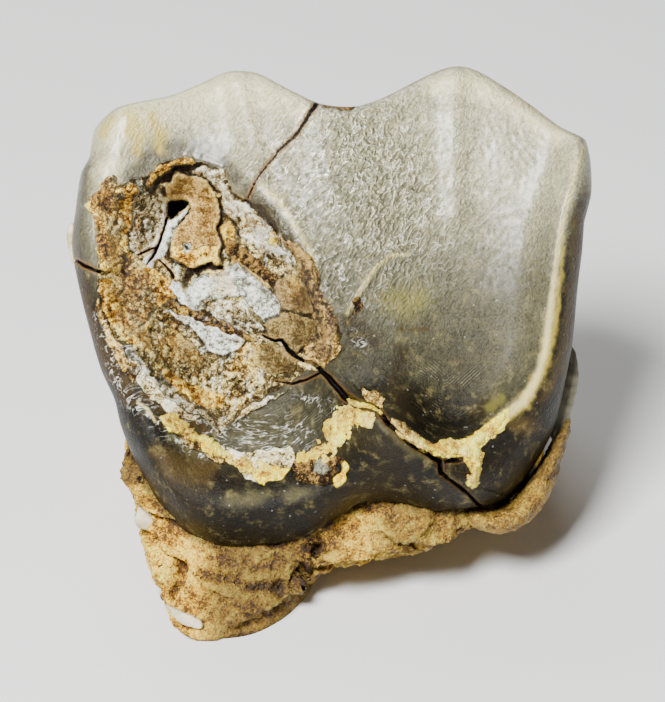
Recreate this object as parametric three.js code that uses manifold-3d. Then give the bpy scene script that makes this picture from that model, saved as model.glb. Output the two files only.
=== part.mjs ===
// A fossil upper molar of a brontothere, broken and cemented in its sandstone, standing on the stone.
// Millimetres, +Z up. X runs along the tooth row, -Y is the cheek side, which is the side with the two dished faces.
import * as THREE from 'three';
import Module from 'manifold-3d';

const wasm = await Module();
wasm.setup();

// Driving dimensions
const CROWN_WIDTH = 88.4;          // across the two lobes of the outer wall
const LEAN = Math.PI / 6;          // the outer wall leans back this far from upright
const FLOOR = -40.6;               // what the stone stands on, below the face's own origin
const GAP = 0.3;                   // clearance between touching pieces
const EDGE_ROLL = { side: 6.5, base: 8, crest: 2.4 };   // how the outer wall rounds over at its outline
const BASIN_FLOOR = -9;            // the chewing basin, in the heights of the face's origin
const CROWN_BASE = -27;            // where the crown ends on the tongue side, inside the stone
const LINGUAL_Y = 63;              // the tongue side of the crown
const LINGUAL_HALF_WIDTH = 31;
const FACE_ORIGIN = new THREE.Vector3(0.2, -18.8, -FLOOR);

// The outer wall is laid out in the pixels of the reference picture, 520 of which span the crown.
const PIXEL = CROWN_WIDTH / 520;
const PIXEL_CENTRE = [330, 350];

const CREST = [[80, 142], [88, 130], [100, 118], [115, 107], [140, 100], [170, 93], [200, 80], [222, 70], [240, 68],
  [258, 71], [280, 83], [300, 94], [320, 103], [345, 106], [362, 104], [385, 95], [415, 79], [440, 67], [460, 63],
  [478, 67], [505, 83], [532, 102], [562, 125], [588, 139], [600, 146]];
const LEFT_EDGE = [[120, 91], [155, 87], [172, 79], [205, 74], [245, 70], [280, 76], [325, 87], [370, 100],
  [400, 114], [425, 121], [465, 137], [497, 151], [520, 160]];
const RIGHT_EDGE = [[125, 585], [140, 588], [165, 592], [195, 592], [215, 586], [250, 583], [290, 578], [342, 573],
  [370, 568], [400, 562], [430, 554], [455, 542], [478, 529], [495, 515], [510, 500]];
const ENAMEL_MARGIN = [[140, 482], [151, 497], [170, 519], [190, 535], [212, 545], [235, 549], [265, 548],
  [295, 542], [315, 535], [332, 523], [347, 511], [362, 504], [385, 503], [410, 507], [435, 512], [460, 509],
  [485, 506], [505, 500], [520, 489], [535, 475]];

// Ridges of the outer wall: a path, its height, and how far it reaches to its left and right as it is drawn.
const RIDGES = [
  { name: 'right style and its rim', height: 5.4, left: 7.5, right: 3.2,
    path: [[584, 140], [577, 170], [567, 200], [559, 235], [553, 280], [549, 320], [544, 355], [528, 388],
      [505, 412], [482, 432], [460, 444], [435, 446], [412, 437], [392, 420]] },
  { name: 'middle style', height: 4.2, left: 11, right: 10,
    path: [[322, 100], [322, 150], [326, 200], [334, 250], [346, 300], [362, 350], [382, 405]] },
  { name: 'edge of the broken fossa', height: 1.7, left: 3, right: 3.4,
    path: [[246, 178], [278, 213], [301, 255], [322, 300], [342, 348]] },
  { name: 'rib of the right cone', height: 0.8, left: 2, right: 2.4, path: [[457, 70], [455, 150], [456, 215]] },
  { name: 'rib of the left cone', height: 0.9, left: 2.2, right: 2.4, path: [[234, 72], [246, 120], [256, 170]] },
  { name: 'left style', height: 3.0, left: 9, right: 6.5,
    path: [[118, 108], [98, 150], [90, 200], [90, 250], [98, 310], [118, 370], [145, 428]] },
  { name: 'rim of the left lobe', height: 4.6, left: 7, right: 6.5,
    path: [[145, 428], [178, 478], [222, 500], [270, 502], [318, 487], [352, 462], [380, 434]] },
  { name: 'rim between the lobes', height: 3.4, left: 5, right: 7, path: [[366, 425], [400, 447], [436, 468], [470, 482]] },
];

// Dishes and losses: an outline, how deep it goes, and the width of its wall.
const HOLLOWS = [
  { name: 'right dish', depth: 2.4, wall: 15,
    outline: [[400, 130], [455, 110], [520, 140], [556, 200], [545, 290], [530, 360], [480, 420], [430, 430],
      [385, 390], [370, 310], [370, 220]] },
  { name: 'broken fossa', depth: 4.6, wall: 5,
    outline: [[98, 196], [146, 182], [184, 158], [226, 170], [250, 198], [300, 248], [324, 300], [338, 350],
      [330, 398], [290, 440], [245, 440], [205, 424], [165, 392], [142, 352], [108, 330], [96, 260]] },
  { name: 'cave under the cone', depth: 3.0, wall: 4,
    outline: [[146, 196], [176, 174], [214, 184], [236, 214], [222, 262], [186, 272], [150, 268], [132, 236]] },
  { name: 'pocket below the cave', depth: 2.0, wall: 3.4,
    outline: [[176, 270], [226, 268], [262, 300], [262, 322], [206, 308], [178, 296]] },
];

// Cracks: a path, the width at the surface and the depth.
const CRACKS = [
  { name: 'crack from the valley of the crest', width: 1.1, depth: 3.2,
    path: [[322, 94], [312, 108], [306, 124], [292, 140], [276, 158], [262, 176], [250, 192], [247, 200]] },
  { name: 'crack through the left style', width: 0.9, depth: 3.0,
    path: [[58, 257], [80, 262], [96, 270], [118, 274]] },
  { name: 'crack down through the rim', width: 1.5, depth: 3.6,
    path: [[268, 336], [284, 342], [300, 362], [326, 374], [346, 396], [374, 406], [392, 428], [420, 448],
      [437, 458], [438, 470], [458, 486], [480, 506]] },
];
const HOLE = { outline: [[166, 198], [178, 197], [187, 202], [176, 214], [166, 226], [162, 214]], depth: 6 };

const face = ([x, y]) => [(x - PIXEL_CENTRE[0]) * PIXEL, (PIXEL_CENTRE[1] - y) * PIXEL];
const facePath = (points) => points.map(face);
const clamp = (t, low = 0, high = 1) => Math.min(high, Math.max(low, t));
const mix = (a, b, t) => a + (b - a) * t;
const ease = (t) => clamp(t) ** 2 * (3 - 2 * clamp(t));

// A smooth function through points [t, value] in rising order of t, level beyond its ends.
function through(points) {
  const slope = (i) => {
    const [a, b] = [points[Math.max(0, i - 1)], points[Math.min(points.length - 1, i + 1)]];
    return (b[1] - a[1]) / (b[0] - a[0]);
  };
  return (t) => {
    const x = clamp(t, points[0][0], points.at(-1)[0]);
    let i = 0;
    while (i < points.length - 2 && x > points[i + 1][0]) i++;
    const [[x0, y0], [x1, y1]] = [points[i], points[i + 1]];
    const span = x1 - x0;
    const s = (x - x0) / span;
    return y0 * (1 + 2 * s) * (1 - s) ** 2 + y1 * s * s * (3 - 2 * s)
      + span * (slope(i) * s * (1 - s) ** 2 + slope(i + 1) * s * s * (s - 1));
  };
}

const byRise = (a, b) => a[0] - b[0];
const swap = ([y, x]) => [(PIXEL_CENTRE[1] - y) * PIXEL, (x - PIXEL_CENTRE[0]) * PIXEL];
const crestHeight = through(facePath(CREST));
const marginHeight = through(facePath(ENAMEL_MARGIN));
const leftEdge = through(LEFT_EDGE.map(swap).sort(byRise));
const rightEdge = through(RIGHT_EDGE.map(swap).sort(byRise));

// Signed distance from a path: negative to the left of the way it is drawn.
function fromPath(path, u, v) {
  let best = Infinity;
  let side = 1;
  for (let i = 0; i + 1 < path.length; i++) {
    const [[ax, ay], [bx, by]] = [path[i], path[i + 1]];
    const [dx, dy] = [bx - ax, by - ay];
    const s = clamp(((u - ax) * dx + (v - ay) * dy) / (dx * dx + dy * dy));
    const d = Math.hypot(u - ax - s * dx, v - ay - s * dy);
    if (d < best) {
      best = d;
      side = dx * (v - ay) - dy * (u - ax) > 0 ? -1 : 1;
    }
  }
  return best * side;
}

// Distance inside an outline, or negative outside it.
function insideOutline(outline, u, v) {
  const closed = [...outline, outline[0]];
  let inside = false;
  for (let i = 0; i + 1 < closed.length; i++) {
    const [[ax, ay], [bx, by]] = [closed[i], closed[i + 1]];
    if (ay > v !== by > v && u < ((bx - ax) * (v - ay)) / (by - ay) + ax) inside = !inside;
  }
  return Math.abs(fromPath(closed, u, v)) * (inside ? 1 : -1);
}

const smoothPath = (points, closed = false, steps = 4) => {
  const curve = new THREE.CatmullRomCurve3(points.map(([x, y]) => new THREE.Vector3(x, y, 0)), closed, 'centripetal');
  const made = curve.getPoints(points.length * steps).map((p) => [p.x, p.y]);
  return closed ? made.slice(0, -1) : made;
};

const ridges = RIDGES.map((r) => ({ ...r, path: smoothPath(facePath(r.path)) }));
const hollows = HOLLOWS.map((h) => ({ ...h, outline: smoothPath(facePath(h.outline), true) }));
const wallSweep = through([[-34, 2.6], [-26, 2.4], [-18, -0.6], [-8, -2.2], [10, -2.8], [30, -4.6], [49, -9]]);

const rollOver = (distance, radius) => {
  const q = clamp(1 - distance / radius);
  return radius * (1 - Math.sqrt(Math.max(0, 1 - q * q)));
};

// How far the outer wall stands towards the cheek at a place on the face.
function relief(u, v) {
  let w = wallSweep(v);
  for (const r of ridges) {
    const d = fromPath(r.path, u, v);
    w += r.height * Math.exp(-((d / (d < 0 ? r.left : r.right)) ** 2));
  }
  for (const h of hollows) w -= h.depth * ease(insideOutline(h.outline, u, v) / h.wall);
  w -= rollOver(u - leftEdge(v), EDGE_ROLL.side) + rollOver(rightEdge(v) - u, EDGE_ROLL.side);
  w -= rollOver(v - marginHeight(u), EDGE_ROLL.base) + rollOver(crestHeight(u) - v, EDGE_ROLL.crest);
  return w;
}

// From the face (u right, v up the wall, w towards the cheek) to the part's frame.
const onFace = (u, v, w) => new THREE.Vector3(
  u, v * Math.sin(LEAN) - w * Math.cos(LEAN), v * Math.cos(LEAN) + w * Math.sin(LEAN)).add(FACE_ORIGIN);
const depthOf = (v, w) => v * Math.sin(LEAN) - w * Math.cos(LEAN);
const heightOf = (v, w) => v * Math.cos(LEAN) + w * Math.sin(LEAN);
const place = (x, y, z) => new THREE.Vector3(x, y, z).add(FACE_ORIGIN);

// A closed surface through rings of points, with a fan over each end.
function loft(rings) {
  const n = rings[0].length;
  const centre = (ring) => ring.reduce((sum, p) => sum.add(p), new THREE.Vector3()).divideScalar(n);
  const points = [...rings.flat(), centre(rings[0]), centre(rings.at(-1))];
  const [first, last] = [points.length - 2, points.length - 1];
  const index = [];
  for (let r = 0; r + 1 < rings.length; r++) {
    for (let i = 0; i < n; i++) {
      const [a, b, c, d] = [r * n + i, r * n + ((i + 1) % n), (r + 1) * n + i, (r + 1) * n + ((i + 1) % n)];
      index.push(a, b, d, a, d, c);
    }
  }
  const top = (rings.length - 1) * n;
  for (let i = 0; i < n; i++) {
    index.push(first, (i + 1) % n, i, last, top + i, top + ((i + 1) % n));
  }
  const geometry = new THREE.BufferGeometry().setFromPoints(points);
  geometry.setIndex(index);
  return geometry;
}

// Between a three.js geometry and a solid that can be cut and joined.
function solid(geometry) {
  const vertProperties = Float32Array.from(geometry.getAttribute('position').array);
  let triVerts = Uint32Array.from(geometry.getIndex().array);
  let made = new wasm.Manifold(new wasm.Mesh({ numProp: 3, vertProperties, triVerts }));
  if (made.volume() < 0) {
    triVerts = triVerts.map((_, i) => triVerts[i - (i % 3) + ((3 - (i % 3)) % 3)]);
    made = new wasm.Manifold(new wasm.Mesh({ numProp: 3, vertProperties, triVerts }));
  }
  return made;
}

function geometryOf(made) {
  const { numProp, numVert, vertProperties, triVerts } = made.getMesh();
  const position = new Float32Array(numVert * 3);
  for (let i = 0; i < numVert; i++) position.set(vertProperties.subarray(i * numProp, i * numProp + 3), i * 3);
  const geometry = new THREE.BufferGeometry();
  geometry.setAttribute('position', new THREE.BufferAttribute(position, 3));
  geometry.setIndex(new THREE.BufferAttribute(triVerts, 1));
  return geometry;
}

// The same solid with every corner moved out along its normal.
function swollen(made, by) {
  const geometry = geometryOf(made);
  geometry.computeVertexNormals();
  const [position, normal] = [geometry.getAttribute('position'), geometry.getAttribute('normal')];
  for (let i = 0; i < position.array.length; i++) position.array[i] += by * normal.array[i];
  return solid(geometry);
}

const largest = (made) => made.decompose().reduce((a, b) => (a.volume() > b.volume() ? a : b));

// Where a section of the crown starts and ends: the outline is met at the same share of the width all the way up.
function faceSpan(a) {
  const share = (a + 1) / 2;
  const across = (v) => mix(leftEdge(v), rightEdge(v), share);
  const meet = (height, v) => {
    for (let i = 0; i < 12; i++) v = mix(v, height(across(v)), 0.7);
    return v;
  };
  return { across, low: meet(marginHeight, -28), high: meet(crestHeight, 42) };
}

const closer = (t) => t * (1.42 - 0.42 * t * t);        // -1..1, closer together at both ends
const closerEnds = (t) => (closer(2 * t - 1) + 1) / 2;  // 0..1, the same

const CUSPS = [
  { name: 'protocone', x: -11, y: 52, height: 18, wide: 13, deep: 8.5 },
  { name: 'hypocone', x: 17, y: 52, height: 13, wide: 11, deep: 8 },
  { name: 'protoconule', x: -26, y: 40, height: 6, wide: 8, deep: 8 },
];

// The chewing surface behind the outer wall.
function basin(x, y, halfWidth, farEdge) {
  let z = BASIN_FLOOR;
  for (const c of CUSPS) {
    const d = Math.hypot((x - c.x) / c.wide, (y - c.y) / c.deep);
    z += c.height * Math.exp(-1.2 * d ** 2);
  }
  z += 2.5 * Math.exp(-(((halfWidth - Math.abs(x)) / 4) ** 2));
  return z - rollOver(halfWidth - Math.abs(x), 4) - rollOver(farEdge - y, 6);
}

const SECTION_STEPS = { face: 25, wall: 5, basin: 10, tongue: 6, under: 5 };

// One closed section of the crown, front to back, at a share -1..1 of its width.
function crownSection(a) {
  const { across, low, high } = faceSpan(a);
  const points = [];
  for (let i = 0; i <= SECTION_STEPS.face; i++) {
    const v = mix(low, high, closerEnds(i / SECTION_STEPS.face));
    const u = across(v);
    points.push([u, depthOf(v, relief(u, v)), heightOf(v, relief(u, v))]);
  }
  const [frontX, frontY, frontZ] = points[0];
  const [crestX, crestY, crestZ] = points.at(-1);
  const farEdge = LINGUAL_Y - 7 * Math.abs(a) ** 3;
  const footY = crestY + mix(12, 9, Math.abs(a));
  const widthAt = (y) => {
    const s = ease((y - crestY) / (farEdge - crestY));
    return mix(crestX, a * LINGUAL_HALF_WIDTH, s);
  };
  const halfAt = (y) => mix(42, LINGUAL_HALF_WIDTH, ease((y - crestY) / (farEdge - crestY)));
  const footZ = basin(widthAt(footY), footY, halfAt(footY), farEdge);
  const back = new THREE.CubicBezierCurve(
    new THREE.Vector2(crestY, crestZ), new THREE.Vector2(crestY + 6, crestZ - 4),
    new THREE.Vector2(footY - 5, footZ + 11), new THREE.Vector2(footY, footZ));
  for (let i = 1; i <= SECTION_STEPS.wall; i++) {
    const { x: y, y: z } = back.getPoint(i / SECTION_STEPS.wall);
    points.push([widthAt(y), y, z]);
  }
  for (let i = 1; i <= SECTION_STEPS.basin; i++) {
    const y = mix(footY, farEdge, 1 - (1 - i / SECTION_STEPS.basin) ** 1.35);
    points.push([widthAt(y), y, basin(widthAt(y), y, halfAt(y), farEdge)]);
  }
  const [, edgeY, edgeZ] = points.at(-1);
  for (let i = 1; i <= SECTION_STEPS.tongue; i++) {
    const s = i / SECTION_STEPS.tongue;
    const swell = 3 * Math.sin(Math.PI * Math.min(1, s * 1.1));
    points.push([a * (LINGUAL_HALF_WIDTH - 2 * s), edgeY + swell - 4 * s * s, mix(edgeZ, CROWN_BASE, s)]);
  }
  const [underX, underY, underZ] = points.at(-1);
  for (let i = 1; i < SECTION_STEPS.under; i++) {
    const s = i / SECTION_STEPS.under;
    const sag = 4 * Math.sin(Math.PI * s) * (1 - a * a);
    points.push([mix(underX, frontX, s), mix(underY, frontY, s), mix(underZ, frontZ, s) - sag]);
  }
  return points.map(([x, y, z]) => place(x, y, z));
}

const CROWN_SECTIONS = 38;
const SIDE_RINGS = [0.9, 0.7, 0.4];
const SIDE_SWELL = 2.4;
const SIDE_CENTRE = [34, 14, -8];

function crown() {
  const rings = [];
  for (let i = 0; i <= CROWN_SECTIONS; i++) rings.push(crownSection(closer((2 * i) / CROWN_SECTIONS - 1)));
  const side = (ring, way) => SIDE_RINGS.map((s) => {
    const centre = place(way * SIDE_CENTRE[0], ...SIDE_CENTRE.slice(1));
    return ring.map((p) => p.clone().lerp(centre, 1 - s).add(new THREE.Vector3(way * SIDE_SWELL * (1 - s * s), 0, 0)));
  });
  return solid(loft([...side(rings[0], -1).reverse(), ...rings, ...side(rings.at(-1), 1)]));
}

// The way across a path at one of its points.
function acrossPath(points, i) {
  const [a, b] = [points[Math.max(0, i - 1)], points[Math.min(points.length - 1, i + 1)]];
  const length = Math.hypot(b[0] - a[0], b[1] - a[1]);
  return [-(b[1] - a[1]) / length, (b[0] - a[0]) / length];
}

// A wedge along a crack, standing over the surface and narrowing into it.
function crackBlade({ path, width, depth }) {
  const points = facePath(path);
  const rings = points.map(([u, v], i) => {
    const [nx, ny] = acrossPath(points, i);
    const ends = i === 0 || i === points.length - 1 ? 0.4 : 1;
    const half = (width / 2) * ends * (2.5 + depth) / depth;
    const w = relief(clamp(u, leftEdge(v) + 1, rightEdge(v) - 1), clamp(v, marginHeight(u) + 1, crestHeight(u) - 1));
    return [onFace(u - nx * half, v - ny * half, w + 2.5), onFace(u + nx * half, v + ny * half, w + 2.5),
      onFace(u, v, w - depth)];
  });
  return solid(loft(rings));
}

function holePlug({ outline, depth }) {
  const ring = facePath(outline);
  const deepest = Math.min(...ring.map(([u, v]) => relief(u, v)));
  const [cu, cv] = [0, 1].map((k) => ring.reduce((sum, p) => sum + p[k], 0) / ring.length);
  const level = (w, s) => ring.map(([u, v]) => onFace(mix(cu, u, s), mix(cv, v, s), w));
  return solid(loft([level(deepest - depth, 0.5), level(deepest - 1, 0.9), level(deepest + 6, 1.15)]));
}

// Lumps on broken stone, in millimetres, from a few waves that never repeat together.
const lumps = (x, y, z) => 0.5 * Math.sin(0.31 * x + 0.23 * z + 1.7 * Math.sin(0.19 * y))
  + 0.35 * Math.sin(0.53 * y - 0.47 * z + 1.3 * Math.sin(0.37 * x)) + 0.25 * Math.sin(0.83 * z + 0.61 * x - 0.71 * y);

// The stone: its outline in plan at four heights over the floor, through matching stations.
const STONE_LEVELS = [
  { height: 0, stations: [[-24, -26], [-14.5, -26], [-9, -22], [-5, -16], [-1, -6], [6, 1], [20, 10], [31, 22],
    [32, 38], [24, 50], [6, 55], [-14, 54], [-28, 46], [-32, 28], [-30, 4], [-27.5, -18]] },
  { height: 4, stations: [[-23, -24.5], [-14, -24.5], [-8.5, -21], [-4, -16.5], [2, -10], [10, -4], [21, 4],
    [33, 20], [35, 38], [27, 53], [7, 58], [-15, 57], [-31, 48], [-34, 28], [-32, 4], [-29, -16]] },
  { height: 10.5, stations: [[-22, -17], [-13, -17], [-6, -17], [0, -17.5], [6, -17.5], [14, -16.5], [22, -11],
    [34, 4], [37, 36], [28, 57], [7, 63], [-16, 62], [-33, 50], [-36, 28], [-33.5, 4], [-30, -14]] },
  { height: 21, stations: [[-22, -10], [-12, -12], [-4, -10], [3, -8], [12, -8], [20, -9], [30, -7],
    [37, 6], [36.5, 32], [28, 57], [7, 64], [-15, 63], [-32, 50], [-35, 27], [-35, 4], [-33, -8]] },
];
const STONE_STEPS = 48;
const STONE_FINENESS = 0.16;         // corners of the stone closer to its surface than this are dropped
const STONE_RISE = [0, 1.4, 3.6, 6.2, 9, 12, 15, 18, 21];

function stoneBlock() {
  const outlines = STONE_LEVELS.map(({ stations }) => smoothPath(stations, true, STONE_STEPS / stations.length));
  const rings = STONE_RISE.map((rise) => outlines[0].map((_, i) => {
    const [x, y] = [0, 1].map((k) => through(STONE_LEVELS.map(({ height }, n) => [height, outlines[n][i][k]]))(rise));
    const swell = 1 + (rise > 0 ? 0.045 * lumps(x, y, 3 * rise) : 0);
    const top = rise > 14 ? 1.3 * lumps(x, y, rise) : 0;
    return place(x * swell, mix(18, y, swell), FLOOR + rise + top);
  }));
  return solid(loft(rings));
}

// The thin ledge of stone that climbs the side of the right lobe.
const STONE_LEDGE = {
  path: [[466, 512], [484, 521], [500, 522], [518, 514], [534, 498], [548, 476], [558, 452], [567, 430], [573, 412]],
  half: [1.4, 2.0, 2.4, 2.5, 2.4, 2.1, 1.5, 1.1, 0.5],
  deep: [4, 6, 7, 7, 7, 6.5, 6, 5, 2],
  level: [-5, -6, -7, -8, -9, -9.5, -10, -11, -12],
};
const LEDGE_SIDES = 10;

function stoneLedge() {
  const { path, half, deep, level } = STONE_LEDGE;
  const points = facePath(path);
  return solid(loft(points.map(([u, v], i) => {
    const [nx, ny] = acrossPath(points, i);
    return Array.from({ length: LEDGE_SIDES }, (_, k) => {
      const turn = (2 * Math.PI * k) / LEDGE_SIDES;
      const [c, s] = [Math.cos(turn) * half[i], Math.sin(turn) * deep[i]];
      const rough = 1 + 0.1 * lumps(3 * u + 4 * c, 3 * v, 4 * s);
      return onFace(u + nx * c * rough, v + ny * c * rough, level[i] + s * rough);
    });
  })));
}

// Runs of sand cemented in the hollows of the face: a path, half its width and its thickness at each point.
const SAND_RUNS = {
  fossa_sand: [{ path: [[112, 184], [108, 206], [110, 232], [116, 256], [128, 280], [138, 300], [134, 326], [146, 350]],
    half: [1.2, 3.0, 2.6, 2.8, 3.4, 3.6, 3.0, 0.8], thick: [1.3, 2.7, 3.0, 3.0, 2.8, 2.6, 2.3, 1.0] }],
  fossa_wall_sand: [{ path: [[294, 248], [308, 272], [318, 300], [326, 326], [322, 348], [312, 360]],
    half: [0.9, 1.6, 1.7, 2.3, 2.6, 1.0], thick: [1.3, 2.3, 2.4, 2.5, 2.6, 1.4] }],
  rim_crust_left: [{ path: [[164, 414], [180, 425], [204, 441], [226, 455], [250, 466], [274, 472]],
    half: [1.0, 1.6, 1.5, 1.4, 1.8, 1.2], thick: [1.1, 1.7, 1.7, 1.6, 1.8, 1.1] }],
  rim_crust_middle: [{ path: [[374, 414], [354, 415], [340, 424], [330, 440], [318, 452], [302, 456]],
    half: [1.6, 2.6, 2.6, 2.2, 2.0, 1.2], thick: [1.4, 2.4, 2.3, 2.0, 2.0, 1.2] }],
  rim_crust_right: [{ path: [[400, 432], [424, 443], [448, 447], [468, 450], [476, 462], [470, 480]],
    half: [1.0, 1.5, 1.6, 2.2, 1.6, 1.2], thick: [1.2, 1.8, 2.0, 2.0, 1.8, 1.2] },
  { path: [[462, 450], [480, 436], [500, 418]], half: [1.4, 1.4, 0.8], thick: [1.8, 1.7, 1.1] }],
};
const RUN_SIDES = 8;

function sandRun({ path, half, thick }) {
  const steps = 2;
  const along = (list, s) => through(list.map((value, i) => [i, value]))(s * (list.length - 1));
  const points = smoothPath(facePath(path), false, steps);
  return solid(loft(points.map(([u, v], i) => {
    const s = i / (points.length - 1);
    const [nx, ny] = acrossPath(points, i);
    return Array.from({ length: RUN_SIDES }, (_, k) => {
      const turn = (2 * Math.PI * k) / RUN_SIDES;
      const rough = 1 + 0.22 * lumps(4 * u + 5 * k, 4 * v, 3 * k);
      const c = Math.cos(turn) * along(half, s) * rough;
      const lift = Math.sin(turn) > 0.1 ? Math.sin(turn) * along(thick, s) * rough : -0.9;
      return onFace(u + nx * c, v + ny * c, relief(u + nx * c, v + ny * c) + lift);
    });
  })));
}

// Flakes of enamel and bone held in the stone: the outline of each, how thick it is, and how it lies in depth.
const FLAKES = {
  enamel_chip: { outline: [[143, 501], [152, 510], [154, 529], [138, 528], [134, 521]], thick: 1.8, level: -4.4 },
  enamel_sliver: { outline: [[70, 222], [75, 232], [76, 262], [71, 262], [66, 245], [65, 231]], thick: 1.6, level: -7.6 },
  side_plate: { outline: [[574, 345], [580, 362], [581, 378], [577, 400], [571, 422], [560, 441], [553, 438],
    [558, 410], [566, 380]], thick: 2.2, level: -9.5 },
  bone_splinter: { outline: [[168, 601], [182, 607], [203, 618], [204, 624], [194, 624], [178, 616]], thick: 1.6, level: 3.9 },
};

function flake({ outline, thick, level }) {
  const ring = facePath(outline);
  const [cu, cv] = [0, 1].map((k) => ring.reduce((sum, p) => sum + p[k], 0) / ring.length);
  const slice = (w, s) => ring.map(([u, v]) => onFace(mix(cu, u, s), mix(cv, v, s), level + w));
  return solid(loft([slice(-thick, 0.82), slice(-thick / 3, 1), slice(thick / 3, 0.96), slice(thick / 2, 0.7)]));
}

// The pieces, each cut clear of what it touches.
const wholeCrown = crown();
const socket = swollen(wholeCrown, GAP);
let tooth = wholeCrown;
for (const crack of CRACKS) tooth = tooth.subtract(crackBlade(crack));
tooth = largest(tooth.subtract(holePlug(HOLE)));

const flakes = Object.fromEntries(Object.entries(FLAKES).map(([name, f]) => [name, largest(flake(f).subtract(socket))]));
let stone = stoneBlock().add(stoneLedge()).subtract(socket);
for (const f of Object.values(flakes)) stone = stone.subtract(swollen(f, GAP));
stone = largest(stone.simplify(STONE_FINENESS));
const sands = Object.fromEntries(Object.entries(SAND_RUNS).map(([name, runs]) => [
  name, largest(runs.map(sandRun).reduce((a, b) => a.add(b)).subtract(socket).simplify(0.05))]));

const enamel = () => new THREE.MeshStandardMaterial({ color: 0x8b8779, roughness: 0.35, metalness: 0 });
const sandstone = () => new THREE.MeshStandardMaterial({ color: 0xb08a4a, roughness: 0.95, metalness: 0 });
const sand = () => new THREE.MeshStandardMaterial({ color: 0x9a6b32, roughness: 0.95, metalness: 0 });
const bone = () => new THREE.MeshStandardMaterial({ color: 0xd8d2c0, roughness: 0.6, metalness: 0 });

function piece(name, made, material) {
  const mesh = new THREE.Mesh(geometryOf(made), material);
  mesh.name = name;
  return mesh;
}

const specimen = new THREE.Group();
specimen.add(piece('tooth', tooth, enamel()), piece('sandstone_matrix', stone, sandstone()));
for (const [name, made] of Object.entries(sands)) specimen.add(piece(name, made, sand()));
for (const [name, made] of Object.entries(flakes)) specimen.add(piece(name, made, bone()));

export default specimen;
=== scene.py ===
import math
import bpy
import numpy as np
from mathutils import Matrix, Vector


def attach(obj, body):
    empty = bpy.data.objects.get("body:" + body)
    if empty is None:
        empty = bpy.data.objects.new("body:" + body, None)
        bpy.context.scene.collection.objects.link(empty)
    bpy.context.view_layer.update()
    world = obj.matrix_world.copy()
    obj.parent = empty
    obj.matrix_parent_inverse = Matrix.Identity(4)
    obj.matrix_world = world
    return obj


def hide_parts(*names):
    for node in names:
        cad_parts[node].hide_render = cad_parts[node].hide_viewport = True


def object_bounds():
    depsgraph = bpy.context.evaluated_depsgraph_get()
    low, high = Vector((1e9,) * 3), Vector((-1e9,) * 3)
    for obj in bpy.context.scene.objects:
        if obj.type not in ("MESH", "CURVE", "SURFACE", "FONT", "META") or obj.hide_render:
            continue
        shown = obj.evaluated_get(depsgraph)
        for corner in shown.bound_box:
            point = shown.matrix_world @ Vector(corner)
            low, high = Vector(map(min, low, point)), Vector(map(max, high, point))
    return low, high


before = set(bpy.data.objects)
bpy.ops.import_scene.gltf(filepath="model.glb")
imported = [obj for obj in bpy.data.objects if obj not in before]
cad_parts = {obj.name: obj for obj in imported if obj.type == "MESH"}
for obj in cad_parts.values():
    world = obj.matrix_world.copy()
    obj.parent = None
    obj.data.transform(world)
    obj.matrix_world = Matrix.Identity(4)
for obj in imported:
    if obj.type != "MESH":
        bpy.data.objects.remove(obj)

# A fossil upper molar of a brontothere in its sandstone. Lengths are millimetres until a mesh is made.
start_box = [list(corner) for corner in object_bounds()]

# The crown's driving dimensions: its width and lean, the floor below its face, and how its edges are rounded
CROWN_WIDTH = 88.4
LEAN = math.pi / 6
FLOOR = -40.6
EDGE_ROLL = {"side": 6.5, "base": 8.0, "crest": 2.4}
FACE_ORIGIN = np.array([0.2, -18.8, -FLOOR])
# The picture's pixels over the face, which is 520 of them wide
PIXEL = CROWN_WIDTH / 520
PIXEL_CENTRE = (330, 350)
# The hidden side: heights of its basin and base, how far back its basin goes, and its half widths
BASIN_FLOOR = -9.0
CROWN_BASE = -27.0
LINGUAL_Y = 63.0
LINGUAL_HALF_WIDTH = 31.0
CREST_HALF_WIDTH = 42
# How far the basin's corners draw in, its foot lies behind the crest, its far side swells and its base arches
CORNER_DRAW = 7
WALL_FOOT = (12, 9)
TONGUE_SWELL = 3
UNDER_ARCH = 4
# How far the crown is sunk under the finer skin of its broken lobe
SKIN_SINK = 0.7

# Outlines in pixels: the crest and the enamel's margin as (across, down), the two edges as (down, across)
CREST = [
    (80, 142), (88, 130), (100, 118), (115, 107), (140, 100), (170, 93), (200, 80), (222, 70), (240, 68),
    (258, 71), (280, 83), (300, 94), (320, 103), (345, 106), (362, 104), (385, 95), (415, 79), (440, 67),
    (460, 63), (478, 67), (505, 83), (532, 102), (562, 125), (588, 139), (600, 146)
]
LEFT_EDGE = [
    (120, 91), (155, 87), (172, 79), (205, 74), (245, 70), (280, 76), (325, 87), (370, 100), (400, 114),
    (425, 121), (465, 137), (497, 151), (520, 160)
]
RIGHT_EDGE = [
    (125, 585), (140, 588), (165, 592), (195, 592), (215, 586), (250, 583), (290, 578), (342, 573),
    (370, 568), (400, 562), (430, 554), (455, 542), (478, 529), (495, 515), (510, 500)
]
ENAMEL_MARGIN = [
    (140, 482), (151, 497), (170, 519), (190, 535), (212, 545), (235, 549), (265, 548), (295, 542),
    (315, 535), (332, 523), (347, 511), (362, 504), (385, 503), (410, 507), (435, 512), (460, 509),
    (485, 506), (505, 500), (520, 489), (535, 475)
]

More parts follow.
